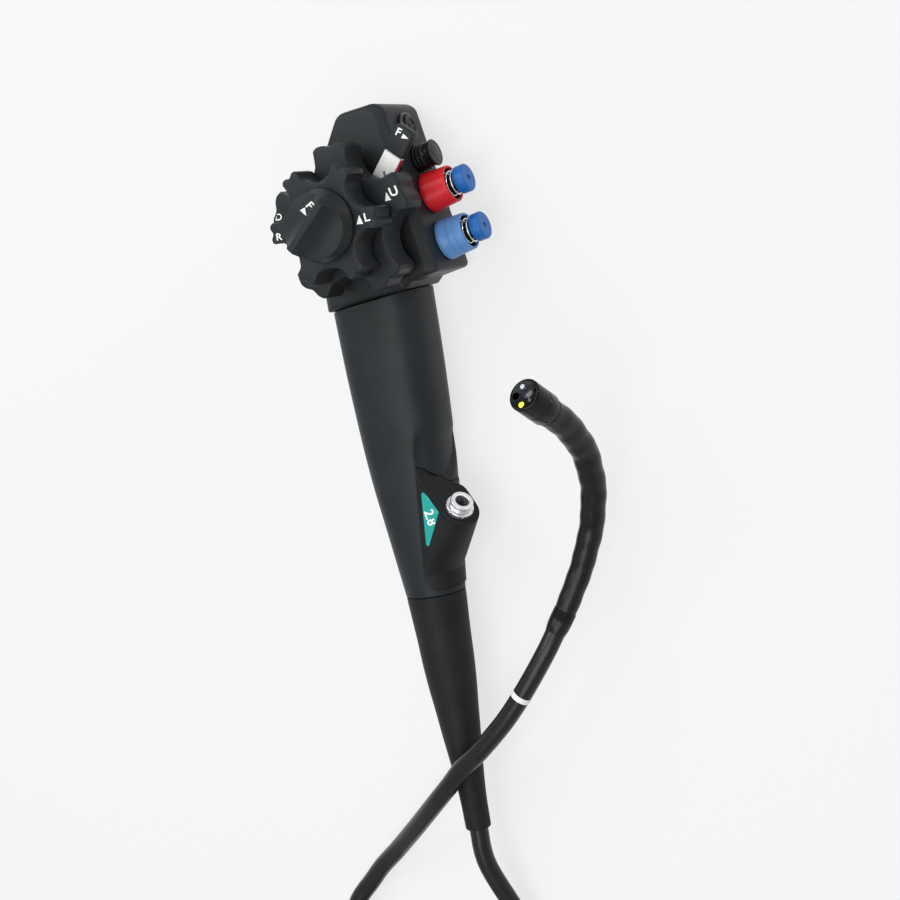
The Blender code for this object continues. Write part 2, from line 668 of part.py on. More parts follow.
def grip_section(at, half_width, half_depth, square, wall=0.0):
    # One section of the grip; those by the head lean with its seam.
    lean = math.tan(HEAD_LEAN - SEAM_TILT) * max(0.0, 1.0 - (at - GRIP_SHAPE[0][0]) / GRIP_FAIR)
    ring = []
    for step in range(SECTION_POINTS):
        angle = 2 * math.pi * step / SECTION_POINTS
        c = math.cos(angle)
        s = math.sin(angle)
        x = GRIP_X + (half_width - wall) * math.copysign(abs(c) ** (2 / square), c)
        z = GRIP_Z + (half_depth - wall) * math.copysign(abs(s) ** (2 / square), s)
        ring.append((x, lean * x - at, z))
    return ring


def ring_across(centre, across, upright, half_across, half_upright, count=28):
    return [centre + across * half_across * math.cos(a) + upright * half_upright * math.sin(a)
            for a in (2 * math.pi * step / count for step in range(count))]


def port_seat():
    return PORT_TOP - PORT_DIR * (PORT_RIM_T + PORT_NECK_H + PORT_FLANGE_T + CLEAR)


def port_axes():
    across = PORT_DIR.cross(Vector((0, 0, 1))).normalized()
    return across, across.cross(PORT_DIR)


def grip_size(at):
    # Half width, half depth and squareness of the grip at a distance from the knob axis.
    for low, high in zip(GRIP_SHAPE, GRIP_SHAPE[1:]):
        if at <= high[0]:
            share = (at - low[0]) / (high[0] - low[0])
            return [a + (b - a) * share for a, b in zip(low[1:], high[1:])]
    return list(GRIP_SHAPE[-1][1:])


def panel_top(x):
    # Upper edge of the port housing at x.
    edge = sorted((*PANEL_OUTLINE[9:], PANEL_OUTLINE[0]))
    for a, b in zip(edge, edge[1:]):
        if x <= b[0]:
            return a[1] + (b[1] - a[1]) * (x - a[0]) / (b[0] - a[0])
    return edge[-1][1]


def ramp_mesh(name, seat):
    # Hull around the rim of the seat and the part of the panel that rises to it.
    across, upright = port_axes()
    points = []
    for back, radius in SHOULDER_SHAPE:
        points += ring_across(seat - PORT_DIR * back, across, upright, radius, radius, 24)
    edge = PANEL_OUTLINE[:5]
    rows = 9
    for row in range(rows):
        y = edge[0][1] + 0.0004 + (-RAMP_END - edge[0][1] - 0.0004) * row / (rows - 1)
        width, depth, square = grip_size(-y)
        left = next(a[0] + (b[0] - a[0]) * (y - a[1]) / (b[1] - a[1])
                    for a, b in zip(edge, edge[1:]) if y >= b[1]) + 0.0002
        start = math.acos(min(1.0, ((left - GRIP_X) / width) ** (square / 2)))
        for step in range(5):
            angle = start * (1 - step / 4) - 0.10 * step / 4
            c = math.cos(angle)
            s = math.sin(angle)
            x = GRIP_X + (width + PANEL_RISE / 2) * abs(c) ** (2 / square)
            if y < panel_top(x):
                points.append(Vector((x, y, GRIP_Z + (depth + PANEL_RISE / 2)
                                      * math.copysign(abs(s) ** (2 / square), s))))
    bm = bmesh.new()
    for point in points:
        bm.verts.new(point)
    hull = bmesh.ops.convex_hull(bm, input=bm.verts)
    bmesh.ops.delete(bm, geom=[item for item in hull["geom_interior"] if isinstance(item, bmesh.types.BMVert)],
                     context="VERTS")
    bmesh.ops.recalc_face_normals(bm, faces=bm.faces)
    mesh = bpy.data.meshes.new(name)
    bm.to_mesh(mesh)
    bm.free()
    return mesh


def scoop_mesh(name, seat):
    # Space in front of the seat: a flat floor that curves up to the crest of the panel.
    crest = Vector((PANEL_OUTLINE[0][0], PANEL_OUTLINE[0][1], GRIP_Z + GRIP_SHAPE[4][2])) - seat
    towards = (crest - PORT_DIR * crest.dot(PORT_DIR)).normalized()
    sideways = PORT_DIR.cross(towards)
    profile = [(-0.0300, 0.0)]
    for step in range(9):
        angle = math.radians(75) * step / 8
        profile.append((SCOOP_START + SCOOP_R * math.sin(angle), SCOOP_R * (1 - math.cos(angle))))
    profile += [(SCOOP_START + SCOOP_R, 0.0500), (-0.0300, 0.0500)]
    rings = [[seat + towards * u + PORT_DIR * w + sideways * v for u, w in profile] for v in (-0.0300, 0.0300)]
    return mesh_from_rings(name, rings)


def panel_region(grow):
    # Prism around the area of the grip that the port housing covers.
    outline = []
    for i, (x, y) in enumerate(PANEL_OUTLINE):
        before = Vector((x, y)) - Vector(PANEL_OUTLINE[i - 1])
        after = Vector(PANEL_OUTLINE[(i + 1) % len(PANEL_OUTLINE)]) - Vector((x, y))
        first = Vector((before.y, -before.x)).normalized()
        second = Vector((after.y, -after.x)).normalized()
        outward = (first + second) / (1 + first.dot(second))
        outline.append((x + outward.x * grow, y + outward.y * grow))
    return plate_mesh("panel_region", outline, GRIP_Z - PANEL_DEPTH - grow, 0.0600)


def build_grip():
    rings = [grip_section(*shape) for shape in GRIP_SHAPE]
    rings += [grip_section(*shape, GRIP_WALL) for shape in reversed(GRIP_SHAPE)]
    grip = add_object("grip_shell", mesh_from_rings("grip_shell", rings, closed_loop=True), BLACK_RESIN)
    cut(grip, add_cutter("panel_pocket", panel_region(CLEAR)))

    seat = port_seat()
    housing = add_object("port_housing", panel_region(0.0), BLACK_SOFT)
    grown = [grip_section(at, w + PANEL_RISE, d + PANEL_RISE, q) for at, w, d, q in GRIP_SHAPE]
    cut(housing, add_cutter("panel_skin", mesh_from_rings("panel_skin", grown)), "INTERSECT")
    cut(housing, add_cutter("ramp", ramp_mesh("ramp", seat)), "UNION")
    hollow = [grip_section(*shape, PORT_WALL) for shape in GRIP_SHAPE]
    cut(housing, add_cutter("grip_hollow", mesh_from_rings("grip_hollow", hollow)))
    cut(housing, add_cutter("port_scoop", scoop_mesh("port_scoop", seat)))
    bore = turned_cutter("port_bore", rod_profile(PORT_BORE + 0.0006 + CLEAR, -0.040, 0.010), 20, None,
                         along(seat, PORT_DIR))
    cut(housing, bore)


def build_port():
    seat = port_seat() + PORT_DIR * CLEAR
    flange = PORT_FLANGE_T
    neck = flange + PORT_NECK_H
    top = neck + PORT_RIM_T
    turned("channel_port", [
        (PORT_RIM_R - 0.0004, top), (PORT_RIM_R, top - 0.0004), (PORT_RIM_R, neck), (PORT_NECK_R, neck),
        (PORT_NECK_R, flange), (PORT_FLANGE_R - 0.0004, flange), (PORT_FLANGE_R, flange - 0.0004),
        (PORT_FLANGE_R, 0.0), (PORT_BORE + 0.0006, 0.0), (PORT_BORE + 0.0006, -0.0080), (PORT_BORE, -0.0080),
        (PORT_BORE, top)], STEEL, True, 28, None, along(seat, PORT_DIR))


def build_boot():
    profile = [(radius, -at) for at, radius in BOOT_SHAPE]
    inner = [(max(radius - BOOT_WALL, TUBE_D / 2 + CLEAR), -at) for at, radius in reversed(BOOT_SHAPE)]
    turned("bend_protector", profile + inner, BLACK_SOFT, True, 28, None,
           along((GRIP_X, 0.0, GRIP_Z), (0, 1, 0)))


def chain_frames():
    # Hinge points and link directions of the bending section at rest.
    heading = Vector((math.cos(BASE_HEADING) * math.cos(BASE_PITCH), math.sin(BASE_HEADING) * math.cos(BASE_PITCH),
                      math.sin(BASE_PITCH)))
    left = Vector((0, 0, 1)).cross(heading).normalized()
    ud_axis = Matrix.Rotation(BEND_TILT, 3, heading) @ -left
    lr_axis = heading.cross(ud_axis)
    frames = []
    point = BASE_POINT + heading * HINGE_PITCH / 2
    frames.append((BASE_POINT.copy(), heading.copy(), ud_axis.copy(), lr_axis.copy()))
    for index in range(HINGES):
        if index % 2 == 0:
            turn = Matrix.Rotation(math.radians(REST_BEND[index // 2]), 3, ud_axis)
            heading = turn @ heading
            lr_axis = turn @ lr_axis
        frames.append((point.copy(), heading.copy(), ud_axis.copy(), lr_axis.copy()))
        point = point + heading * HINGE_PITCH
    return frames


def rubber_radius(distance):
    total = HINGES * HINGE_PITCH
    return RUBBER_R0 + (RUBBER_R1 - RUBBER_R0) * min(1.0, max(0.0, distance / total))


def link_angles():
    marks = []
    for quarter in range(4):
        for degrees in (0.0, 8.0, 14.0, 17.5, 30.0, 60.0, 72.5, 76.0, 82.0):
            marks.append(math.radians(90 * quarter + degrees))
    return marks


def link_edge(angle, radius):
    # Height of a link's edge over its hinge line: ears at the hinge, relief at the sides.
    around = abs(math.asin(math.sin(angle)))
    arc = radius * around
    if arc < EAR_R:
        return math.sqrt(EAR_R ** 2 - arc ** 2)
    return -(EAR_EDGE + math.tan(HINGE_SWING) * radius * abs(math.sin(angle)))


def link_mesh(name, radius, first, last, turn):
    # Local Z runs along the link; its hinges lie at first and last on Z.
    ear_in = radius - LINK_EAR_T - CLEAR
    inner = ear_in - LINK_EAR_T
    rows = []
    for r, side in ((ear_in, "low"), (ear_in, "waist"), (radius, "waist"), (radius, "high"),
                    (radius - LINK_EAR_T, "high"), (radius - LINK_EAR_T, "top"), (inner, "top"),
                    (inner, "low")):
        ring = []
        for angle in link_angles():
            if side == "low":
                z = first - link_edge(angle, radius)
            elif side == "waist":
                z = first - min(link_edge(angle, radius), -EAR_R - EAR_EDGE)
            elif side == "high":
                z = last + link_edge(angle + turn, radius)
            else:
                z = last + min(link_edge(angle + turn, radius), -EAR_R - EAR_EDGE)
            ring.append((r * math.cos(angle), r * math.sin(angle), z))
        rows.append(ring)
    return mesh_from_rings(name, rows, closed_loop=True)


def link_place(point, heading, ud_axis, lr_axis, first_is_ud):
    across = ud_axis if first_is_ud else lr_axis
    other = heading.cross(across)
    return Matrix.Translation(point) @ Matrix((across, other, heading)).transposed().to_4x4()


def build_links(frames):
    quarter = math.pi / 2
    for index in range(1, HINGES):
        point, heading, ud_axis, lr_axis = frames[index]
        radius = rubber_radius(index * HINGE_PITCH) - RUBBER_WALL - CLEAR
        name = f"bend_link_{index:02d}"
        mesh = link_mesh(name, radius, 0.0, HINGE_PITCH, quarter)
        link = add_object(name, mesh, STEEL)
        link.matrix_local = link_place(point, heading, ud_axis, lr_axis, index % 2 == 1)


def build_bend_ends(frames):
    # Ferrule that joins the tube to the first hinge, and the socket that carries the distal end.
    point, heading, ud_axis, lr_axis = frames[0]
    radius = rubber_radius(0.0) - RUBBER_WALL - CLEAR
    rows = []
    ends = ((radius, "low"), (radius, "high"), (radius - LINK_EAR_T, "high"), (radius - LINK_EAR_T, "low"))
    for r, side in ends:
        ring = []
        for angle in link_angles():
            z = -HINGE_PITCH / 2 if side == "low" else HINGE_PITCH / 2 + link_edge(angle, radius)
            ring.append((r * math.cos(angle), r * math.sin(angle), z))
        rows.append(ring)
    base = add_object("bend_ferrule", mesh_from_rings("bend_ferrule", rows, closed_loop=True), STEEL)
    base.matrix_local = link_place(point, heading, ud_axis, lr_axis, True)
    point, heading, ud_axis, lr_axis = frames[HINGES]
    radius = rubber_radius(HINGES * HINGE_PITCH) - RUBBER_WALL - CLEAR
    ear = radius - LINK_EAR_T - CLEAR
    rows = []
    for r, side in ((ear, "low"), (ear, "waist"), (radius, "waist"), (radius, "high"), (ear - LINK_EAR_T, "high"),
                    (ear - LINK_EAR_T, "low")):
        ring = []
        for angle in link_angles():
            if side == "low":
                z = -link_edge(angle, radius)
            elif side == "waist":
                z = EAR_R + EAR_EDGE + max(0.0, -link_edge(angle, radius) - EAR_R)
            else:
                z = HINGE_PITCH / 2
            ring.append((r * math.cos(angle), r * math.sin(angle), z))
        rows.append(ring)
    last = add_object("tip_socket", mesh_from_rings("tip_socket", rows, closed_loop=True), STEEL)
    last.matrix_local = link_place(point, heading, ud_axis, lr_axis, HINGES % 2 == 1)


def bend_centreline(frames):
    # Points and directions along the bending section, each hinge's turn shared by its two sides.
    points = [(frames[0][0], frames[0][1], 0.0)]
    for index in range(1, HINGES + 1):
        point, heading = frames[index][0], frames[index][1]
        before = frames[index - 1][1]
        points.append((point, (heading + before).normalized(), (index - 0.5) * HINGE_PITCH))
        points.append((point + heading * HINGE_PITCH / 2, heading, index * HINGE_PITCH))
    return points


def build_rubber(frames):
    rings_out = []
    rings_in = []
    side = frames[0][2]
    for point, heading, distance in bend_centreline(frames):
        upright = heading.cross(side).normalized()
        across = upright.cross(heading)
        outer = rubber_radius(distance)
        for rings, radius in ((rings_out, outer), (rings_in, outer - RUBBER_WALL)):
            rings.append([point + across * radius * math.cos(a) + upright * radius * math.sin(a)
                          for a in (2 * math.pi * step / 16 for step in range(16))])
    mesh = mesh_from_rings("bending_rubber", rings_out + rings_in[::-1], closed_loop=True)
    add_object("bending_rubber", mesh, BLACK_SOFT)


def build_tip(frames):
    point, heading, ud_axis, lr_axis = frames[HINGES]
    place = link_place(point + heading * (HINGE_PITCH / 2 + CLEAR), heading, ud_axis, lr_axis, False)
    length = TIP_REACH
    tip = turned("distal_tip", rod_profile(TIP_R, 0.0, length, 0.0008), BLACK_GLOSS, False, 28, None, place)
    fittings = (
        ("camera_lens", 0.0014, -0.0012, 0.0020, GLASS_DARK),
        ("light_guide_left", -0.0040, -0.0012, 0.0012, LIGHT_YELLOW),
        ("light_guide_right", 0.0026, 0.0030, 0.0011, LIGHT_YELLOW),
    )
    for name, x, y, radius, look in fittings:
        seat = place @ Matrix.Translation((x, y, 0.0))
        cut(tip, turned_cutter(f"{name}_seat", rod_profile(radius + CLEAR, length - 0.0040, length + 0.002), 16,
                               None, seat))
        turned(name, rod_profile(radius, length - 0.0040 + CLEAR, length - 0.0001, 0.0003), look, False, 16, None,
               seat)
    channel = place @ Matrix.Translation((-0.0020, 0.0034, 0.0))
    cut(tip, turned_cutter("channel_outlet", rod_profile(0.0016, length - 0.0120, length + 0.002), 16, None, channel))
    jet = place @ Matrix.Translation((0.0034, -0.0038, 0.0))
    cut(tip, turned_cutter("jet_outlet", rod_profile(0.0006, length - 0.0060, length + 0.002), 12, None, jet))
    nozzle = place @ Matrix.Translation((-0.0010, -0.0046, length))
    turned("air_water_nozzle", rod_profile(0.0009, CLEAR, 0.0010, 0.0003), STEEL, False, 12, None, nozzle)


def build_tube(frames):
    radius = TUBE_D / 2
    boot_end = Vector((GRIP_X, -BOOT_SHAPE[-1][0], GRIP_Z))
    coil_r = COIL_MEAN_R + 1.05 * TUBE_D
    side = coil_r + radius + CLEAR
    first = [boot_end, boot_end + Vector((0.0005, -0.0180, -0.0010)), Vector((0.0010, -0.3200, 0.0120)),
             Vector((0.0080, -0.3480, 0.0060)), Vector((COIL_CENTRE.x + side, COIL_CENTRE.y, radius))]
    first = [boot_end + Vector((0, TUBE_INSERT, 0))] + smooth_points(first, TUBE_POINT_GAP)
    tube_along("insertion_tube_a", first, radius, BLACK_GLOSS)
    base, heading = frames[0][0], frames[0][1]
    end = base - heading * (HINGE_PITCH / 2 + CLEAR)
    second = [Vector((COIL_CENTRE.x - side, COIL_CENTRE.y, radius))]
    second += [Vector(point) for point in RETURN_ROUTE]
    second = smooth_points(second + [end - heading * 0.0100], TUBE_POINT_GAP) + [end]
    tube_along("insertion_tube_b", second, radius, BLACK_GLOSS)
    outer = COIL_MEAN_R + TUBE_D
    inner = COIL_MEAN_R - TUBE_D
    top = TUBE_D * 1.87
    turned("tube_coil", [
        (COIL_MEAN_R + radius * 0.7, top), (COIL_MEAN_R + radius * 1.6, top - radius * 0.9),
        (outer, TUBE_D), (outer + 0.0004, radius), (outer - 0.0010, 0.0), (inner + 0.0010, 0.0),
        (inner - 0.0004, radius), (inner, TUBE_D), (COIL_MEAN_R - radius * 1.6, top - radius * 0.9),
        (COIL_MEAN_R - radius * 0.7, top)], BLACK_GLOSS, True, 36, None, Matrix.Translation(COIL_CENTRE))


clear_scene()
parts = make_collection(COLLECTION)
cutters = make_collection("cutters")
head = bpy.data.objects.new("head_frame", None)
parts.objects.link(head)
head.matrix_local = Matrix.Rotation(HEAD_LEAN, 4, "Z")
bpy.context.view_layer.update()
build_head()
build_frame()
build_knobs()
build_lever()
build_valve("suction", SUCTION_Y, RED_RESIN, False)
build_valve("air_water", AIR_WATER_Y, PALE_BLUE, True)
build_switches()
build_socket()
build_grip()
build_port()
build_boot()
bend = chain_frames()
build_links(bend)
build_bend_ends(bend)
build_rubber(bend)
build_tip(bend)
build_tube(bend)
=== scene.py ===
import math

import bmesh
import bpy
from mathutils import Matrix, Vector
from mathutils.bvhtree import BVHTree


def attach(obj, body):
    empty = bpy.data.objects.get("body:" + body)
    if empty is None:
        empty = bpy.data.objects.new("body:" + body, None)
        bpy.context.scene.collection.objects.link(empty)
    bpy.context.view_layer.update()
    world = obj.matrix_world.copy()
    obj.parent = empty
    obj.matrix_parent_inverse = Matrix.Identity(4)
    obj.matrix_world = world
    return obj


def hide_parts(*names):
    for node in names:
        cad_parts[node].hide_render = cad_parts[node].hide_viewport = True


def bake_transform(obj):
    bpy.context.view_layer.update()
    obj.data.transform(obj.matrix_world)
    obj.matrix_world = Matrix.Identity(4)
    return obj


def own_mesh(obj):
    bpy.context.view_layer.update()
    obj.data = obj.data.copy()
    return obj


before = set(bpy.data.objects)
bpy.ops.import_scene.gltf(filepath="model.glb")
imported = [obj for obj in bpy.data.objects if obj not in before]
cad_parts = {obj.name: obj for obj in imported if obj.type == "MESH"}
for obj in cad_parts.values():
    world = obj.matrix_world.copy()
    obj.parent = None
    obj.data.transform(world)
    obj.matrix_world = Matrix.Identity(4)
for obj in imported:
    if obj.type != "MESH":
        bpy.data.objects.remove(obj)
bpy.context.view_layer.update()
root = "control_section"
fullTurn = 2 * math.pi


# small helpers

def srgb(code):
    # sRGB hex to the linear colour that shaders use
    out = []
    for i in (0, 2, 4):
        c = int(code[i:i + 2], 16) / 255
        out.append(c / 12.92 if c <= 0.04045 else ((c + 0.055) / 1.055) ** 2.4)
    return (*out, 1.0)


def addNode(tree, kind, settings=None, links=None):
    # one node with its settings (properties or socket values) and incoming links
    node = tree.nodes.new(kind)
    for key, value in (settings or {}).items():
        if isinstance(key, str) and hasattr(node, key):
            setattr(node, key, value)
        else:
            node.inputs[key].default_value = value
    for key, source in (links or {}).items():
        tree.links.new(source, node.inputs[key])
    return node


def linked(name, data):
    obj = bpy.data.objects.new(name, data)
    bpy.context.scene.collection.objects.link(obj)
    return obj


def newMesh(name, bm):
    mesh = bpy.data.meshes.new(name)
    bm.to_mesh(mesh)
    bm.free()
    return mesh


def circlePoint(r, k, count):
    return r * math.cos(fullTurn * k / count), r * math.sin(fullTurn * k / count)


def meshFromRings(name, rings, loop=False, capped=True):
    bm = bmesh.new()
    rows = [[bm.verts.new(p) for p in ring] for ring in rings]
    count = len(rows[0])
    for i in range(len(rows) if loop else len(rows) - 1):
        low, high = rows[i], rows[(i + 1) % len(rows)]
        for j in range(count):
            k = (j + 1) % count
            bm.faces.new((low[j], low[k], high[k], high[j]))
    if capped and not loop:
        bm.faces.new(list(reversed(rows[0])))
        bm.faces.new(rows[-1])
    bmesh.ops.recalc_face_normals(bm, faces=bm.faces)
    if not capped:
        # an open tube can come out inside out
        bm.normal_update()
        middle = sum((v.co for v in rows[0]), Vector()) / count
        if rows[0][0].link_faces[0].normal.dot(rows[0][0].co - middle) < 0:
            bmesh.ops.reverse_faces(bm, faces=bm.faces)
    return newMesh(name, bm)


def revolve(name, profile, steps=64, place=None, ring=False):
    # profile of (radius, height); a radius of 0 becomes the pole
    bm = bmesh.new()
    rows = []
    for r, z in profile:
        spots = [(0, 0)] if r < 1e-6 else [circlePoint(r, k, steps) for k in range(steps)]
        rows.append([bm.verts.new((x, y, z)) for x, y in spots])
    for i in range(len(rows) if ring else len(rows) - 1):
        a, b = rows[i], rows[(i + 1) % len(rows)]
        for k in range(steps):
            n = (k + 1) % steps
            if len(a) == 1 and len(b) > 1:
                bm.faces.new((a[0], b[n], b[k]))
            elif len(b) == 1 and len(a) > 1:
                bm.faces.new((a[k], a[n], b[0]))
            elif len(a) > 1:
                bm.faces.new((a[k], a[n], b[n], b[k]))
    bmesh.ops.recalc_face_normals(bm, faces=bm.faces)
    mesh = newMesh(name, bm)
    if place is not None:
        mesh.transform(place)
    return mesh


def plug(r, high, low, steps, place=None):
    # plain round cutter between two heights
    return revolve("plug", [(0, high), (r, high), (r, low), (0, low)], steps, place)


def paint(mesh, material):
    mesh.materials.clear()
    mesh.materials.append(material)


def dress(obj, body, slot, *nodes, smooth=32.0):
    # shading, moving body and the CAD nodes that the piece takes over
    obj.data.shade_smooth()
    obj.data.set_sharp_from_angle(angle=math.radians(smooth))
    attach(obj, body)
    if nodes:
        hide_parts(*nodes)
    return obj


def addPiece(name, mesh, material, body=None, slot=None, *nodes, smooth=32.0):
    # without a body the piece is still to be cut, and is dressed afterwards
    obj = linked(name, mesh)
    paint(mesh, material)
    return dress(obj, body, slot, *nodes, smooth=smooth) if body else obj


def applied(obj):
    # bakes the modifiers into the mesh
    depsgraph = bpy.context.evaluated_depsgraph_get()
    mesh = bpy.data.meshes.new_from_object(obj.evaluated_get(depsgraph))
    obj.modifiers.clear()
    obj.data = mesh
    return obj


def carve(obj, cutterMesh, operation="DIFFERENCE"):
    cutter = linked(obj.name + "Cutter", cutterMesh)
    step = obj.modifiers.new("cut", "BOOLEAN")
    step.operation = operation
    step.solver = "EXACT"
    step.object = cutter
    bpy.context.view_layer.update()
    applied(obj)
    bpy.data.objects.remove(cutter)


def along(point, direction, turn=0.0):
    return (Matrix.Translation(point) @ Vector(direction).to_track_quat("Z", "Y").to_matrix().to_4x4()
            @ Matrix.Rotation(turn, 4, "Z"))


def arc(cx, cz, r, fromDeg, toDeg, steps=6):
    turns = [math.radians(fromDeg + (toDeg - fromDeg) * k / steps) for k in range(steps + 1)]
    return [(cx + r * math.cos(a), cz + r * math.sin(a)) for a in turns]


def catmull(points, steps):
    out = []
    padded = [points[0] * 2 - points[1]] + list(points) + [points[-1] * 2 - points[-2]]
    for i in range(1, len(padded) - 2):
        a, b, c, d = padded[i - 1:i + 3]
        for step in range(steps):
            t = step / steps
            out.append(0.5 * ((2 * b) + (c - a) * t + (2 * a - 5 * b + 4 * c - d) * t * t
                              + (3 * b - a - 3 * c + d) * t ** 3))
    out.append(points[-1].copy())
    return out


def evenly(points, gap):
    lengths = [0.0]
    for a, b in zip(points, points[1:]):
        lengths.append(lengths[-1] + (b - a).length)
    count = max(2, round(lengths[-1] / gap))
    out, i = [], 0
    for step in range(count + 1):
        want = lengths[-1] * step / count
        while i < len(lengths) - 2 and lengths[i + 1] < want:
            i += 1
        share = (want - lengths[i]) / max(1e-9, lengths[i + 1] - lengths[i])
        out.append(points[i].lerp(points[i + 1], share))
    return out


def sweptTube(name, points, radius, sides=24):
    # tube along points; the section turns as little as it can from one point to the next
    rings = []
    tangent = (points[1] - points[0]).normalized()
    side = tangent.orthogonal().normalized()
    for i, p in enumerate(points):
        ahead = (points[min(i + 1, len(points) - 1)] - points[max(i - 1, 0)]).normalized()
        side = (tangent.rotation_difference(ahead) @ side).normalized()
        tangent = ahead
        up = tangent.cross(side)
        rings.append([p + (side * math.cos(fullTurn * k / sides) + up * math.sin(fullTurn * k / sides)) * radius
                      for k in range(sides)])
    return meshFromRings(name, rings)


def roundedOutline(corners, steps=10):
    # corners of (x, y, radius), each turned into an arc
    outline = []
    count = len(corners)
    for i, (x, y, radius) in enumerate(corners):
        here = Vector((x, y))
        before = (Vector(corners[i - 1][:2]) - here).normalized()
        ahead = (Vector(corners[(i + 1) % count][:2]) - here).normalized()
        half = before.angle(ahead) / 2
        reach = radius / math.tan(half)
        start, end = here + before * reach, here + ahead * reach
        middle = here + (before + ahead).normalized() * (radius / math.sin(half))
        first = start - middle
        sweep = first.angle_signed(end - middle)
        for step in range(steps + 1):
            outline.append(middle + Matrix.Rotation(-sweep * step / steps, 2) @ first)
    return outline


# geometry node trees

def newTree(name, **sizes):
    tree = bpy.data.node_groups.new(name, "GeometryNodeTree")
    for label, kind in (*sizes.items(), ("Material", "Material")):
        tree.interface.new_socket(label, in_out="INPUT", socket_type="NodeSocket" + kind)
    tree.interface.new_socket("Geometry", in_out="OUTPUT", socket_type="NodeSocketGeometry")
    return tree, addNode(tree, "NodeGroupInput").outputs, addNode(tree, "NodeGroupOutput")


def closeTree(tree, geometry, sizes, end):
    real = addNode(tree, "GeometryNodeRealizeInstances", {}, {"Geometry": geometry})
    dressed = addNode(tree, "GeometryNodeSetMaterial", {},
                      {"Geometry": real.outputs[0], "Material": sizes["Material"]})
    tree.links.new(dressed.outputs[0], end.inputs[0])
    return tree


def runTree(name, tree, values, material, place, body, slot, *nodes, smooth=40.0):
    # evaluates a tree on an empty mesh, places the result and lets it ride on a body
    host = linked(name, bpy.data.meshes.new(name))
    step = host.modifiers.new("nodes", "NODES")
    step.node_group = tree
    for item in tree.interface.items_tree:
        if item.in_out == "INPUT":
            step[item.identifier] = material if item.name == "Material" else values[item.name]
    bpy.context.view_layer.update()
    applied(host)
    host.data.transform(place)
    paint(host.data, material)
    return dress(host, body, slot, *nodes, smooth=smooth)


def springTree():
    # round wire wound on a cylinder
    tree, sizes, end = newTree("woundSpring", Radius="Float", Wire="Float", Length="Float", Turns="Float")
    helix = addNode(tree, "GeometryNodeCurveSpiral", {"Resolution": 28},
                    {"Rotations": sizes["Turns"], "Start Radius": sizes["Radius"],
                     "End Radius": sizes["Radius"], "Height": sizes["Length"]})
    wire = addNode(tree, "GeometryNodeCurvePrimitiveCircle", {"Resolution": 10}, {"Radius": sizes["Wire"]})
    body = addNode(tree, "GeometryNodeCurveToMesh", {"Fill Caps": True},
                   {"Curve": helix.outputs[0], "Profile Curve": wire.outputs[0]})
    return closeTree(tree, body.outputs[0], sizes, end)


def ringTree():
    # Count small blocks evenly round a circle: the notches of the metal flange
    tree, sizes, end = newTree("blocksOnCircle", Radius="Float", Count="Int", Size="Vector")
    circle = addNode(tree, "GeometryNodeCurvePrimitiveCircle", {"Resolution": 96}, {"Radius": sizes["Radius"]})
    places = addNode(tree, "GeometryNodeResampleCurve", {}, {"Curve": circle.outputs[0], "Count": sizes["Count"]})
    block = addNode(tree, "GeometryNodeMeshCube", {}, {"Size": sizes["Size"]})
    tangent = addNode(tree, "GeometryNodeInputTangent")
    aim = addNode(tree, "FunctionNodeAlignEulerToVector", {"axis": "Y"}, {"Vector": tangent.outputs[0]})
    put = addNode(tree, "GeometryNodeInstanceOnPoints", {},
                  {"Points": places.outputs[0], "Instance": block.outputs[0], "Rotation": aim.outputs[0]})
    return closeTree(tree, put.outputs[0], sizes, end)


def threadTree():
    # turns of thread lying side by side along Z
    tree, sizes, end = newTree("boundThread", Radius="Float", Thread="Float", Count="Int", Pitch="Vector")
    line = addNode(tree, "GeometryNodeMeshLine", {}, {"Count": sizes["Count"], "Offset": sizes["Pitch"]})
    circle = addNode(tree, "GeometryNodeCurvePrimitiveCircle", {"Resolution": 40}, {"Radius": sizes["Radius"]})
    thread = addNode(tree, "GeometryNodeCurvePrimitiveCircle", {"Resolution": 8}, {"Radius": sizes["Thread"]})
    turn = addNode(tree, "GeometryNodeCurveToMesh", {},
                   {"Curve": circle.outputs[0], "Profile Curve": thread.outputs[0]})
    put = addNode(tree, "GeometryNodeInstanceOnPoints", {},
                  {"Points": line.outputs[0], "Instance": turn.outputs[0]})
    return closeTree(tree, put.outputs[0], sizes, end)


# materials

def grain(tree, shader, sizeMm, depth, roughness, spread):
    # fine surface texture: bump and roughness from one noise whose cell is sizeMm across
    where = addNode(tree, "ShaderNodeTexCoord").outputs["Object"]
    noise = addNode(tree, "ShaderNodeTexNoise", {"Scale": 1000 / sizeMm, "Detail": 4.0, "Roughness": 0.55},
                    {"Vector": where})
    rough = addNode(tree, "ShaderNodeMapRange", {"To Min": roughness - spread, "To Max": roughness + spread},
                    {"Value": noise.outputs["Fac"]})
    tree.links.new(rough.outputs["Result"], shader.inputs["Roughness"])
    bump = addNode(tree, "ShaderNodeBump", {"Strength": depth, "Distance": sizeMm / 4000},
                   {"Height": noise.outputs["Fac"]})
    tree.links.new(bump.outputs["Normal"], shader.inputs["Normal"])


def twoShades(tree, shader, source, codes, places=(0.0, 1.0)):
    # colour between two shades, led by a value
    ramp = addNode(tree, "ShaderNodeValToRGB", {}, {"Fac": source})
    for element, code, place in zip(ramp.color_ramp.elements, codes, places):
        element.position = place
        element.color = srgb(code)
    tree.links.new(ramp.outputs["Color"], shader.inputs["Base Color"])


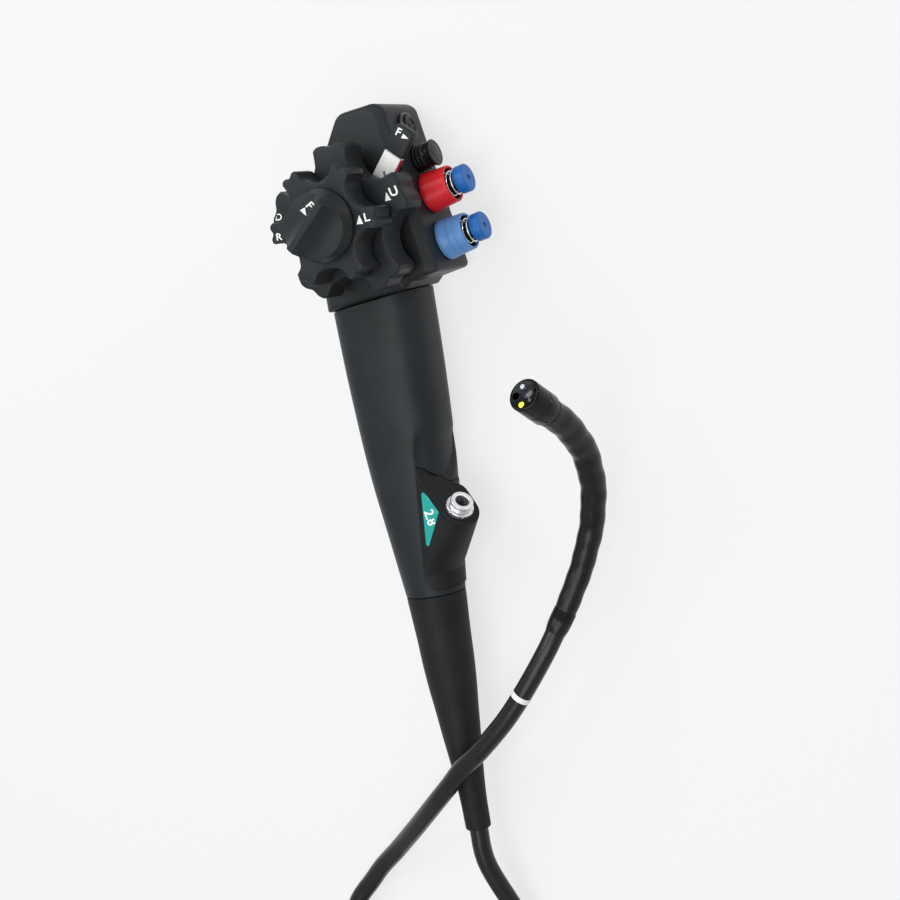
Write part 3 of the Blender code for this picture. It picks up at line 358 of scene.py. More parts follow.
def mottle(tree, shader, codeA, codeB, sizeMm):
    # slow colour variation between two close shades
    where = addNode(tree, "ShaderNodeTexCoord").outputs["Object"]
    noise = addNode(tree, "ShaderNodeTexNoise", {"Scale": 1000 / sizeMm, "Detail": 3.0}, {"Vector": where})
    twoShades(tree, shader, noise.outputs["Fac"], (codeA, codeB), (0.35, 0.65))


def newMaterial(name, code, roughness, metal=0.0, ior=1.5, gloss=0.5, slow=None, fine=None, glow=None):
    # slow is the mottle (two shades, size in mm), fine the grain (size in mm, depth, roughness, spread)
    mat = bpy.data.materials.new(name)
    mat.use_nodes = True
    tree = mat.node_tree
    shader = tree.nodes["Principled BSDF"]
    values = {"Base Color": srgb(code), "Roughness": roughness, "Metallic": metal, "IOR": ior,
              "Specular IOR Level": gloss}
    if glow:
        values.update({"Emission Color": srgb(glow[0]), "Emission Strength": glow[1]})
    for key, value in values.items():
        shader.inputs[key].default_value = value
    mat.diffuse_color = srgb(code)
    if slow:
        mottle(tree, shader, *slow)
    if fine:
        grain(tree, shader, *fine)
    return mat


def opticGlass():
    # polished cover window over a dark lens; the bluish tint where it is seen aslant is a painted sheen in its base
    # colour, led by the viewing angle
    mat = newMaterial("polishedWindow", "0b0c16", 0.08, ior=1.6)
    tree = mat.node_tree
    layer = addNode(tree, "ShaderNodeLayerWeight", {"Blend": 0.35})
    twoShades(tree, tree.nodes["Principled BSDF"], layer.outputs["Facing"], ("090a14", "2a2c58"))
    return mat


def paintedGlowFibreEnd(name, code, glow, strength):
    # end of a glass fibre bundle; its emission is a painted glow, as nothing lights the fibres
    mat = newMaterial(name, code, 0.2, glow=(glow, strength))
    tree = mat.node_tree
    where = addNode(tree, "ShaderNodeTexCoord").outputs["Object"]
    cells = addNode(tree, "ShaderNodeTexVoronoi", {"Scale": 1000 / 0.12}, {"Vector": where})
    bump = addNode(tree, "ShaderNodeBump", {"Strength": 0.15, "Distance": 0.00003},
                   {"Height": cells.outputs["Distance"]})
    tree.links.new(bump.outputs["Normal"], tree.nodes["Principled BSDF"].inputs["Normal"])
    return mat


def dyedNylon(name, codeA, codeB):
    # dyed moulded nylon: even colour, satin surface
    return newMaterial(name, codeA, 0.38, ior=1.53, gloss=0.3, slow=(codeA, codeB, 5.0), fine=(0.45, 0.08, 0.38, 0.05))


def printInk(name, code):
    # pad-printed ink, thin and slightly rough
    return newMaterial(name, code, 0.5, fine=(0.3, 0.05, 0.5, 0.06))


print("materials")
# black glass-filled resin, injection moulded with a fine spark texture: soft wide highlights
resin = newMaterial("mouldedBlackResin", "27292c", 0.42, ior=1.52, gloss=0.13,
                    slow=("25282a", "2a2d30", 18.0), fine=(0.5, 0.10, 0.42, 0.05))
# moulded elastomer, a shade darker and duller than the resin
rubber = newMaterial("mouldedElastomer", "1e2022", 0.5, gloss=0.13,
                     slow=("1c1e20", "212325", 14.0), fine=(0.6, 0.12, 0.52, 0.05))
# extruded polyurethane sleeve over braid, polished
tubeSkin = newMaterial("extrudedPolyurethane", "17181a", 0.27, gloss=0.3,
                       slow=("151617", "1a1b1d", 9.0), fine=(1.4, 0.10, 0.27, 0.05))
# fluoroelastomer skin of the bending section: shiny, a little uneven over the links
bendSkin = newMaterial("thinFluoroelastomer", "17181a", 0.28, gloss=0.22,
                       slow=("141516", "1a1b1c", 6.0), fine=(2.6, 0.22, 0.28, 0.06))
# stainless steel from the lathe, its fine rings drawn as a soft streaking of the gloss
steel = newMaterial("turnedStainless", "d5d7da", 0.2, metal=1.0, fine=(0.35, 0.06, 0.2, 0.07))
# steel blackened in a bath, machined brass, and glass-beaded stainless steel
darkSteel = newMaterial("blackenedSteel", "55585c", 0.32, metal=1.0, fine=(0.4, 0.06, 0.32, 0.06))
brass = newMaterial("machinedBrass", "c9a55a", 0.3, metal=1.0, fine=(0.4, 0.06, 0.3, 0.06))
satinSteel = newMaterial("satinStainless", "e4e5e7", 0.34, metal=1.0, fine=(0.3, 0.05, 0.34, 0.05))
# machined white acetal
whitePlastic = newMaterial("machinedAcetal", "f2f2ef", 0.34, ior=1.48,
                           slow=("eeeeeb", "f6f6f4", 4.0), fine=(0.4, 0.05, 0.34, 0.05))
# polysulfone of the tip, moulded glossy
glossBlack = newMaterial("mouldedPolysulfone", "0b0c0e", 0.22, gloss=0.16, fine=(0.8, 0.04, 0.2, 0.04))
# silicone of the switches
silicone = newMaterial("mouldedSilicone", "131416", 0.3, ior=1.43, gloss=0.35, fine=(0.5, 0.05, 0.3, 0.05))
redNylon = dyedNylon("dyedNylonRed", "e3232c", "db1e28")
paleBlueNylon = dyedNylon("dyedNylonPaleBlue", "6294d0", "5b8ecb")
blueNylon = dyedNylon("dyedNylonBlue", "1769b8", "1463b0")
whiteInk = printInk("paddedWhiteInk", "f4f5f5")
tealInk = printInk("printedTealFilm", "1b9f97")
redInk = printInk("paddedRedInk", "b3242b")
greyInk = printInk("paddedGreyInk", "5a5e62")
lensGlass = opticGlass()
# painted glow: both fibre ends emit light of their own, though no lamp lights them
warmFibrePaintedGlow = paintedGlowFibreEnd("fibreBundleWarmPaintedGlow", "f4f04a", "fff23a", 0.9)
coolFibrePaintedGlow = paintedGlowFibreEnd("fibreBundleCoolPaintedGlow", "aeb9c9", "c9d6ea", 0.25)


# camera, floor and light

print("camera and light")
view = {"eye": (0.3436, -0.0257, 0.6496), "right": (0.8803, -0.1739, -0.4413), "back": (0.4626, 0.1086, 0.8799),
        "lens": 65.73, "sensor": 36.0, "pixels": 900}
lensData = bpy.data.cameras.new("studioCamera")
lensData.lens = view["lens"]
lensData.sensor_width = view["sensor"]
lensData.clip_start = 0.01
camera = linked("studioCamera", lensData)
back = Vector(view["back"]).normalized()
right = (Vector(view["right"]) - back * Vector(view["right"]).dot(back)).normalized()
camera.matrix_world = Matrix.Translation(view["eye"]) @ Matrix((right, back.cross(right), back)).transposed().to_4x4()
bpy.context.scene.camera = camera
bpy.context.scene.view_settings.view_transform = "Standard"
studio = {"floorHalf": 4, "floorDrop": 0.0004, "floorPale": "ffffff", "floorLit": "d4d6d8", "floorShare": 0.72,
          "roomLit": "f2f4f6", "roomLevel": 0.27, "roomPale": "f4f5f6", "roomInGloss": 0.5}


def combined(tree, operation, a, b):
    # a maths node over a link and either another link or a number
    settings, links = ({}, {0: a, 1: b}) if hasattr(b, "is_linked") else ({1: b}, {0: a})
    return addNode(tree, "ShaderNodeMath", {"operation": operation, **settings}, links).outputs[0]


def floorMaterial():
    # pale studio floor: the camera and the reflections see its own pale colour, shadows stay
    mat = bpy.data.materials.new("studioFloor")
    mat.use_nodes = True
    tree = mat.node_tree
    tree.nodes.clear()
    rays = addNode(tree, "ShaderNodeLightPath").outputs
    seen = combined(tree, "MAXIMUM", rays["Is Camera Ray"], rays["Is Glossy Ray"])
    share = combined(tree, "MULTIPLY", seen, studio["floorShare"])
    lit = addNode(tree, "ShaderNodeBsdfDiffuse", {"Color": srgb(studio["floorLit"])})
    pale = addNode(tree, "ShaderNodeEmission", {"Color": srgb(studio["floorPale"]), "Strength": 1.0})
    mix = addNode(tree, "ShaderNodeMixShader", {}, {"Fac": share, 1: lit.outputs[0], 2: pale.outputs[0]})
    addNode(tree, "ShaderNodeOutputMaterial", {}, {"Surface": mix.outputs[0]})
    return mat


half = studio["floorHalf"]
floorMesh = bpy.data.meshes.new("studioFloor")
floorMesh.from_pydata([(-half, -half, 0), (half, -half, 0), (half, half, 0), (-half, half, 0)], [], [(0, 1, 2, 3)])
floor = linked("studioFloor", floorMesh)
floor.location.z = -studio["floorDrop"]
floorMesh.materials.append(floorMaterial())

world = bpy.data.worlds.new("studioRoom")
world.use_nodes = True
bpy.context.scene.world = world
room = world.node_tree
room.nodes.clear()
rays = addNode(room, "ShaderNodeLightPath").outputs
roomGloss = combined(room, "MULTIPLY", rays["Is Glossy Ray"], studio["roomInGloss"])
roomClear = combined(room, "MAXIMUM", rays["Is Camera Ray"], rays["Is Transmission Ray"])
roomSeen = combined(room, "MAXIMUM", roomClear, roomGloss)
roomSoft = addNode(room, "ShaderNodeBackground", {"Color": srgb(studio["roomLit"]), "Strength": studio["roomLevel"]})
roomPale = addNode(room, "ShaderNodeBackground", {"Color": srgb(studio["roomPale"]), "Strength": 1.0})
roomMix = addNode(room, "ShaderNodeMixShader", {}, {"Fac": roomSeen, 1: roomSoft.outputs[0], 2: roomPale.outputs[0]})
addNode(room, "ShaderNodeOutputWorld", {}, {"Surface": roomMix.outputs[0]})

lamps = {
    "keyPanel": {"at": (-0.50, 0.62, 0.95), "aim": (-0.01, -0.10, 0.02), "size": 1.0, "power": 10.0},
    "overheadPanel": {"at": (0.10, -0.30, 1.30), "aim": (0.0, -0.10, 0.03), "size": 1.0, "power": 10.5},
    "edgeStrip": {"at": (0.80, 0.38, 0.13), "aim": (0.08, -0.10, 0.05), "size": 0.14, "power": 1.5},
}
for lampName, lamp in lamps.items():
    lampData = bpy.data.lights.new(lampName, "AREA")
    lampData.size = lamp["size"]
    lampData.energy = lamp["power"]
    linked(lampName, lampData).matrix_world = along(lamp["at"], Vector(lamp["at"]) - Vector(lamp["aim"]))


# insertion tube

print("insertion tube")
tube = {"radius": 0.0043, "coilCentre": (-0.0400, -0.3860), "coilMean": 0.0392, "wind": 0.00865, "turns": 2.5,
        "bootEnd": (-0.0075, -0.2760, 0.0185), "insert": 0.0080}
bend = {"base": (0.0531, -0.1813, 0.0240), "heading": 59.0, "pitch": -17.0, "tilt": -23.4, "hinges": 12,
        "gap": 0.00967, "rest": (7.2, 10.5, 15.3, 18.5, 18.4, 12.8), "r0": 0.0049, "r1": 0.0062}
basePoint = Vector(bend["base"])
azimuth, elevation = math.radians(bend["heading"]), math.radians(bend["pitch"])
baseWay = Vector((math.cos(azimuth) * math.cos(elevation), math.sin(azimuth) * math.cos(elevation),
                  math.sin(elevation)))
bootEnd = Vector(tube["bootEnd"])
centre = Vector((*tube["coilCentre"], tube["radius"] + 0.0002))


def tubeRoute():
    # out of the bend protector, round the stored coil, over the protector and up to the bending section
    start = [bootEnd + Vector((0, tube["insert"], 0)), bootEnd, bootEnd + Vector((0.0005, -0.0180, -0.0010)),
             Vector((0.0010, -0.3200, 0.0120)), Vector((0.0080, -0.3480, 0.0060))]
    turns = []
    mean = tube["coilMean"]
    outer, inner = mean + tube["wind"] / 2, mean - tube["wind"] / 2
    steps = round(tube["turns"] * 16)
    for k in range(steps + 1):
        turn = k / steps * tube["turns"]
        angle = -fullTurn * turn
        # outer turn, then the inner one beside it, then half a turn on top of both
        climb = min(1.0, max(0.0, (turn - 1.60) / 0.40))
        z = centre.z + 0.0089 * climb * climb * (3 - 2 * climb)
        r = outer + 0.0048 * max(0.0, 1 - turn / 0.16)
        if turn > 0.85:
            r = outer + (inner - outer) * min(1.0, (turn - 0.85) / 0.3)
        if turn > 1.85:
            r = inner + (mean - inner) * min(1.0, (turn - 1.85) / 0.30)
        if turn > 2.3:
            r = mean + (outer + 0.0035 - mean) * (turn - 2.3) / 0.2
        turns.append(Vector((centre.x + r * math.cos(angle), centre.y + r * math.sin(angle), z)))
    finish = [Vector(p) for p in (
        (-0.0905, -0.3290, 0.0085), (-0.0753, -0.3060, 0.0060), (-0.0571, -0.2903, 0.0100),
        (-0.0394, -0.2757, 0.0185), (-0.0224, -0.2612, 0.0265), (-0.0116, -0.2517, 0.0297),
        (-0.0030, -0.2436, 0.0315), (0.0070, -0.2362, 0.0322), (0.0225, -0.2222, 0.0318),
        (0.0345, -0.2085, 0.0308))]
    end = basePoint - baseWay * (bend["gap"] / 2 + 0.0003)
    return catmull(start + turns + finish + [end - baseWay * 0.0100, end], 8)


tubeLine = evenly(tubeRoute(), 0.0040)
tubePath = evenly(tubeRoute(), 0.0100)
insertionTube = addPiece("insertionTube", sweptTube("insertionTube", tubeLine, tube["radius"]), tubeSkin, root,
                         "black_gloss", "insertion_tube_a", "tube_coil", "insertion_tube_b", smooth=40)


def tubePlace(distance):
    # place on the tube, counted back from the bending section, Z along it
    gone = 0.0
    for a, b in zip(reversed(tubeLine[1:]), reversed(tubeLine[:-1])):
        step = (b - a).length
        if gone + step >= distance:
            return along(a.lerp(b, (distance - gone) / step), a - b)
        gone += step


ringMark = {"at": 0.0345, "width": 0.0024, "proud": 0.00012, "deep": 0.0001}
markIn, markOut = tube["radius"] - ringMark["deep"], tube["radius"] + ringMark["proud"]
markMesh = revolve("depthMark", [(markIn, 0), (markOut, 0), (markOut, ringMark["width"]), (markIn, ringMark["width"])],
                   48, tubePlace(ringMark["at"]), True)
depthMark = addPiece("depthMark", markMesh, whiteInk, root)


# bending section

print("bending section")


def bendFrames():
    # point, way, up axis and side axis at the base and at each hinge
    way = baseWay.copy()
    left = Vector((0, 0, 1)).cross(way).normalized()
    upAxis = Matrix.Rotation(math.radians(bend["tilt"]), 3, way) @ -left
    sideAxis = way.cross(upAxis)
    rows = [(basePoint.copy(), way.copy(), upAxis.copy(), sideAxis.copy())]
    point = basePoint + way * bend["gap"] / 2
    for i in range(bend["hinges"]):
        if i % 2 == 0:
            turn = Matrix.Rotation(math.radians(bend["rest"][i // 2]), 3, upAxis)
            way = turn @ way
            sideAxis = turn @ sideAxis
        rows.append((point.copy(), way.copy(), upAxis.copy(), sideAxis.copy()))
        point = point + way * bend["gap"]
    return rows


links = bendFrames()
gap = bend["gap"]
mids = [links[0][0]] + [links[i][0] + links[i][1] * gap / 2 for i in range(1, bend["hinges"] + 1)]
skin = {"ripple": 0.00010, "steps": 16, "sides": 40}


def skinRadius(distance):
    # grows towards the tip and swells a little over each link
    share = min(1.0, max(0.0, distance / (bend["hinges"] * gap)))
    ripple = skin["ripple"] * (math.cos(fullTurn * distance / gap) - 1)
    return bend["r0"] + (bend["r1"] - bend["r0"]) * share + ripple


for i in range(bend["hinges"]):
    # one sleeve over each hinge, curved from the middle of one link to the middle of the next
    a, corner, b = mids[i], links[i + 1][0], mids[i + 1]
    rings = []
    for k in range(skin["steps"] + 1):
        t = k / skin["steps"]
        p = a * (1 - t) ** 2 + corner * 2 * t * (1 - t) + b * t * t
        tangent = (links[i][1] * (1 - t) + links[i + 1][1] * t).normalized()
        side = (links[0][2] - tangent * links[0][2].dot(tangent)).normalized()
        up = tangent.cross(side)
        r = skinRadius((i + t) * gap)
        spots = [circlePoint(r, m, skin["sides"]) for m in range(skin["sides"])]
        rings.append([p + side * x + up * y for x, y in spots])
    name = f"bendingSkin{i + 1:02d}"
    sleeve = addPiece(name, meshFromRings(name, rings, capped=False), bendSkin)
    sleeve.data.shade_smooth()
    sleeve.data.set_sharp_from_angle(angle=math.radians(60))
    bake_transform(sleeve)
    if i == 0:
        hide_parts("bending_rubber")

thread = {"radius": 0.00012, "pitch": 0.00024}
binding = threadTree()
for name, start, way, radius, count, body in (
        ("proximalBinding", basePoint - baseWay * 0.0002, baseWay, bend["r0"] + 0.00002, 20, root),
        ("distalBinding", mids[-1] - links[-1][1] * 0.0010, links[-1][1], bend["r1"] - 0.00010, 4, "distal_end")):
    sizes = {"Radius": radius, "Thread": thread["radius"], "Count": count, "Pitch": (0, 0, thread["pitch"])}
    runTree(name, binding, sizes, bendSkin, along(start, way), body, "black_gloss")
collarMesh = revolve("tubeCollar", [(0.0043, -0.0062), (0.00445, -0.0060), (0.0049, -0.0030), (0.00502, -0.0005),
                                    (0.0050, 0.0000), (0.0043, 0.0000)], 48, along(basePoint, baseWay), True)
addPiece("tubeCollar", collarMesh, bendSkin, root, "black_soft", smooth=50)


# distal end

print("distal end")
tipWay, tipSide = links[-1][1], links[-1][3]
tipPlace = (Matrix.Translation(mids[-1] + tipWay * 0.0003)
            @ Matrix((tipSide, tipWay.cross(tipSide), tipWay)).transposed().to_4x4())
tip = {"radius": 0.0069, "length": 0.0160, "rim": 0.0008, "lens": (0.0014, -0.0012, 0.0020),
       "warmGuide": (-0.0040, -0.0012, 0.0012), "coolGuide": (0.0026, 0.0030, 0.0011),
       "channel": (-0.0020, 0.0034, 0.0016), "water": (0.0034, -0.0038, 0.0006)}
windows = (("camera_lens", tip["lens"], lensGlass, "lens"),
           ("light_guide_left", tip["warmGuide"], warmFibrePaintedGlow, "light_guide"),
           ("light_guide_right", tip["coolGuide"], coolFibrePaintedGlow, "light_guide"))


def tipProfile():
    r, top, rim = tip["radius"], tip["length"], tip["rim"]
    return ([(0, top - 0.0002), (r - 0.0013, top - 0.0002), (r - 0.0010, top - 0.0001)]
            + arc(r - rim, top - rim, rim, 90, 0, 8)
            + [(r, top * 0.45), (r - 0.00012, top * 0.44), (r - 0.00012, top * 0.425), (r, top * 0.415),
               (r, 0.0010), (r - 0.0003, 0.0003), (r - 0.0005, 0.0), (0, 0.0)])


tipBody = addPiece("distalCap", revolve("distalCap", tipProfile(), 72), glossBlack)
seats = [(x, y, r + 0.0002, 0.0120, 40) for node, (x, y, r), finish, slot in windows]
seats += [(*tip["channel"], 0.0040, 40), (*tip["water"], 0.0090, 24)]
for x, y, r, floorAt, steps in seats:
    carve(tipBody, plug(r, 0.0182, floorAt, steps, Matrix.Translation((x, y, 0))))
tipBody.data.transform(tipPlace)
dress(tipBody, "distal_end", "black_gloss", "distal_tip")
for node, (x, y, r), finish, slot in windows:
    top = 0.0159
    dome = [(0, top + 0.0002), (r * 0.5, top + 0.00014), (r * 0.85, top), (r, top - 0.0003), (r, 0.0124), (0, 0.0124)]
    mesh = revolve(node + "Window", dome, 40, tipPlace @ Matrix.Translation((x, y, 0)))
    addPiece(node + "Window", mesh, finish, "distal_end", slot, node)
bezelProfile = [(0.0020, 0.0156), (0.0020, 0.0161), (0.0021, 0.0162), (0.0024, 0.0161), (0.00255, 0.0158),
                (0.00255, 0.0156)]
bezelMesh = revolve("cameraBezel", bezelProfile, 48, tipPlace @ Matrix.Translation((*tip["lens"][:2], 0)), True)
addPiece("cameraBezel", bezelMesh, darkSteel, "distal_end", "steel")


# head of the control section

print("head")
headLean = math.radians(10.0)
headTurn = Matrix.Rotation(headLean, 4, "Z")
head = {"front": 0.0370, "edge": 0.0030, "back": 0.0030, "wallX": 0.0250, "bottom": -0.0310, "top": 0.0452,
        "seam": -0.0335, "seamTilt": 3.4, "backInset": 0.0026, "cheek": 0.0060, "gripX": -0.0075,
        "neckHalf": 0.0213, "gap": 0.0003, "holeZ": 0.0200, "holeDeep": 0.0125,
        "holes": ((0.0025, 0.0059), (-0.0185, 0.0059), (0.0188, 0.0051), (0.0320, 0.0049))}


def neckX(side):
    at = head["gripX"] + side * head["neckHalf"]
    return (at + head["seam"] * math.sin(headLean)) / math.cos(headLean)


def levelRing(z, inset, chamfer=0.0, cheek=0.0):
    # outline of the head at one level: chamfer takes from the valve wall alone, cheek from the left foot
    grow = -inset
    right, left = neckX(1) + grow, neckX(-1) - grow
    foot = head["seam"] + head["gap"] - grow
    farFoot = foot + (right - left) * math.tan(math.radians(head["seamTilt"]))
    wall = head["wallX"] + grow - chamfer
    top, bottom = head["top"] + grow, head["bottom"] - grow
    corners = ((wall, bottom, 0.0022), (wall, top - 0.0040, 0.0050), (wall - 0.0040, top - 0.0010, 0.0060),
               (0.0035, top + 0.0008, 0.0060), (-0.0300 - grow, 0.0090, 0.0120),
               (-0.0315 - grow + 0.5 * cheek, -0.0180, 0.0200), (left + cheek, farFoot, 0.0010),
               (right, foot, 0.0010), (0.0115 + grow, bottom, 0.0020))
    return [(p.x, p.y, z) for p in roundedOutline(corners)]


def backRing(z, share):
    return levelRing(z, share * head["backInset"], 0.6 * share * head["backInset"])


low, front, edge, cheek = head["back"] + head["gap"], head["front"], head["edge"], head["cheek"]
levels = [backRing(low + up, share) for up, share in (
    (0.0, 0.38), (0.0003, 0.30), (0.0009, 0.16), (0.0017, 0.05), (0.0026, 0.0))]
levels += [levelRing(0.7 * front, 0.0), levelRing(0.82 * front, 0.0, 0.0, 0.16 * cheek),
           levelRing(front - edge, 0.0, 0.0, 0.40 * cheek)]
# distance below the front face, inset of the valve wall there: a crisp edge, a band, then the face
for down, wallInset in ((0.0026, 0.0), (0.0023, 0.00002), (0.0021, 0.00012), (0.0019, 0.00040), (0.0017, 0.00080),
                        (0.0012, 0.00195), (0.0007, 0.00310), (0.0004, 0.00375), (0.0002, 0.0042), (0.00007, 0.0046),
                        (0.0, 0.0051)):
    t = 1 - down / edge
    inset = 0.9 * edge * (1 - math.sqrt(max(0.0, 1 - t * t)))
    levels.append(levelRing(front - down, inset, wallInset - inset, (0.40 + 0.5 * t) * cheek))
housing = addPiece("headShell", meshFromRings("headShell", levels), resin)
for y, r in head["holes"]:
    carve(housing, plug(r, 0.006, -head["holeDeep"], 40, along((head["wallX"], y, head["holeZ"]), (1, 0, 0))))
carve(housing, plug(0.0066, 0.004, -0.006, 40, Matrix.Translation((0, 0, front))))
carve(housing, plug(0.0110, 0.010, -0.006, 48, along((-0.0300, -0.0080, 0.0200), (-1, 0, 0))))
housing.data.transform(headTurn)
dress(housing, root, "black_resin", "head_housing", smooth=28)

coverMesh = meshFromRings("backLid", [backRing(z, share) for z, share in (
    (0.0, 1.0), (0.0003, 0.9), (0.0007, 0.8), (0.0016, 0.6), (0.0028, 0.40), (0.0030, 0.44))])
coverMesh.transform(headTurn)
addPiece("backLid", coverMesh, resin, root, "black_resin", "back_cover")


# knobs

print("knobs")
knobs = {
    "ud": {"radius": 0.0327, "lobes": 5, "phase": 88.8, "valley": 0.0215, "scallop": 0.0120, "low": 0.0430,
           "height": 0.0140, "bore": 0.0065},
    "lr": {"radius": 0.0254, "lobes": 6, "phase": 59.1, "valley": 0.0172, "scallop": 0.0085, "low": 0.0576,
           "height": 0.0138, "bore": 0.0045},
}
knobEdge = {"rim": 0.0013, "topSink": 0.0003, "soft": 0.0012, "notch": 0.0011}


def knobOutline(k, inset):
    # round disc less a scallop between each pair of lobes, with a shallow notch on each lobe
    out = []
    pitch = fullTurn / k["lobes"]
    centreR = k["valley"] + k["scallop"]
    edgeAngle = math.acos((k["radius"] ** 2 + centreR ** 2 - k["scallop"] ** 2) / (2 * k["radius"] * centreR))
    lobeHalf = pitch / 2 - edgeAngle
    for lobe in range(k["lobes"]):
        middle = math.radians(k["phase"]) + lobe * pitch
        for s in range(20):
            share = -1 + 2 * s / 20
            soft = knobEdge["soft"] * max(0.0, abs(share) - 0.72) / 0.28
            notch = knobEdge["notch"] * 0.5 * (1 + math.cos(math.pi * min(1.0, abs(share) / 0.5)))
            out.append((k["radius"] - inset - notch - soft, middle + share * lobeHalf))
        for s in range(25):
            share = s / 24
            swing = edgeAngle * (2 * share - 1)
            across = k["scallop"] ** 2 - (centreR * math.sin(swing)) ** 2
            reach = centreR * math.cos(swing) - math.sqrt(max(0.0, across))
            soft = knobEdge["soft"] * max(0.0, 1 - min(share, 1 - share) / 0.10)
            out.append((reach - inset - soft, middle + pitch / 2 + swing))
    return [(r * math.cos(a), r * math.sin(a)) for r, a in out]


wheels = {}
for name, k in knobs.items():
    lowZ, highZ, rim = k["low"], k["low"] + k["height"], knobEdge["rim"]
    levels = [(lowZ, rim), (lowZ + 0.0004, 0.0004), (lowZ + rim, 0.0)]
    levels += [(highZ - rim + up, rim - run) for run, up in arc(0, 0, rim, 0, 90, 8)]
    rings = [[(x, y, z) for x, y in knobOutline(k, inset)] for z, inset in levels]
    angles = [math.atan2(p[1], p[0]) for p in rings[0]]
    sunk = highZ - knobEdge["topSink"]
    for r, z in ((k["valley"] - 0.0026, highZ), (k["valley"] - 0.0036, sunk), (k["bore"] + 0.0004, sunk),
                 (k["bore"], sunk - 0.0004), (k["bore"], lowZ)):
        rings.append([(r * math.cos(a), r * math.sin(a), z) for a in angles])
    wheels[name] = addPiece(name + "Wheel", meshFromRings(name + "Wheel", rings, loop=True), resin,
                            name + "_knob", "black_resin", name + "_knob", smooth=30)

brake = {"base": 0.0720, "height": 0.0135, "radius": 0.0150, "top": 0.0126, "fin": 41.6, "finT": 0.0040,
         "scoopR": 0.0120, "floor": 0.0062, "shaft": 0.0027}
b0, b1, wide = brake["base"], brake["base"] + brake["height"], brake["radius"]
brakeProfile = [(0, b1)] + arc(brake["top"] - 0.0014, b1 - 0.0014, 0.0014, 90, 0, 8)
brakeProfile += [(wide - 0.0008, b0 + 0.0024), (wide - 0.0002, b0 + 0.0017), (wide, b0 + 0.0011), (wide, b0 + 0.0002),
                 (wide - 0.0002, b0), (brake["shaft"], b0), (brake["shaft"], b0 + 0.0050), (0, b0 + 0.0050)]
brakeKnob = addPiece("lrBrakeGrip", revolve("lrBrakeGrip", brakeProfile, 96), resin)
finAngle = math.radians(brake["fin"])
finWay = Vector((math.cos(finAngle), math.sin(finAngle), 0))
for side in (1, -1):
    # a round scoop on each side leaves the finger bar standing
    at = Vector((-finWay.y, finWay.x, 0)) * side * (brake["finT"] / 2 + brake["scoopR"] * 0.86)
    at.z = b0 + brake["floor"] + brake["scoopR"]
    carve(brakeKnob, plug(brake["scoopR"], 0.02, -0.02, 96, along(at, finWay)))
softEdge = brakeKnob.modifiers.new("softEdge", "BEVEL")
softEdge.width = 0.0004
softEdge.segments = 3
softEdge.limit_method = "ANGLE"
softEdge.angle_limit = math.radians(35)
applied(brakeKnob)
dress(brakeKnob, "lr_brake", "black_resin", "lr_brake_knob", smooth=35)


# brake lever of the large knob

print("lever")
lever = {"angle": 48.5, "low": 0.0377, "thick": 0.0034, "hub": 0.0130, "width": 0.0084, "end": 0.0325,
         "tipLong": 0.0122, "tipWide": 0.0094, "tipThick": 0.0044, "tipDrop": 0.0003, "bore": 0.0065, "gap": 0.0003,
         "stripeFrom": 0.0150, "stripeProud": 0.00012, "stripeDeep": 0.0002}
leverTurn = Matrix.Rotation(math.radians(lever["angle"]), 4, "Z")


def slab(name, outline, low, high, edge, steps=4):
    # plate with rounded lower and upper edges over a counter-clockwise outline
    def inward(d):
        ring = []
        for i, (x, y) in enumerate(outline):
            way = (Vector(outline[(i + 1) % len(outline)]) - Vector(outline[i - 1])).normalized()
            ring.append((x - way.y * d, y + way.x * d))
        return ring
    turns = [math.pi / 2 * k / steps for k in range(steps + 1)]
    rings = [[(x, y, low + edge * (1 - math.cos(a))) for x, y in inward(edge * (1 - math.sin(a)))] for a in turns]
    rings += [[(x, y, high - edge + edge * math.sin(a)) for x, y in inward(edge * (1 - math.cos(a)))] for a in turns]
    return meshFromRings(name, rings)


halfWide, hub, armEnd = lever["width"] / 2, lever["hub"], lever["end"]
leverLow, leverTop = lever["low"], lever["low"] + lever["thick"]
meeting = math.degrees(math.asin(halfWide / hub))
armOutline = arc(0, 0, hub, meeting, 360 - meeting, 60)
armOutline += [(armEnd - 0.0003, -halfWide), (armEnd, -halfWide + 0.0003), (armEnd, halfWide - 0.0003),
               (armEnd - 0.0003, halfWide)]
arm = addPiece("brakeArm", slab("brakeArm", armOutline, leverLow, leverTop, 0.0004), whitePlastic)
carve(arm, plug(lever["bore"], 0.05, 0.03, 48))
arm.data.transform(leverTurn)
dress(arm, "ud_brake", "white_resin", "ud_brake_lever")
tipX, tipY = armEnd + lever["gap"], lever["tipWide"] / 2
tipOutline = roundedOutline(((tipX, -tipY, 0.0006), (tipX + lever["tipLong"], -tipY, 0.0020),
                             (tipX + lever["tipLong"], tipY, 0.0020), (tipX, tipY, 0.0006)))
tipLow = leverLow - lever["tipDrop"]
tipMesh = slab("brakeArmTip", [tuple(p) for p in tipOutline], tipLow, tipLow + lever["tipThick"], 0.0006)
tipMesh.transform(leverTurn)
leverTip = addPiece("brakeArmTip", tipMesh, resin, "ud_brake", "black_resin", "ud_brake_tip")
stripeOut, stripeIn = -halfWide - lever["stripeProud"], -halfWide + lever["stripeDeep"]
stripeOutline = [(lever["stripeFrom"], stripeOut), (armEnd - 0.0005, stripeOut), (armEnd - 0.0005, stripeIn),
                 (lever["stripeFrom"], stripeIn)]
stripeMesh = slab("armStripe", stripeOutline, leverLow + 0.0005, leverTop - 0.0005, 0.0001, 2)
stripeMesh.transform(leverTurn)
addPiece("armStripe", stripeMesh, redInk, "ud_brake", "red_resin")


# valves

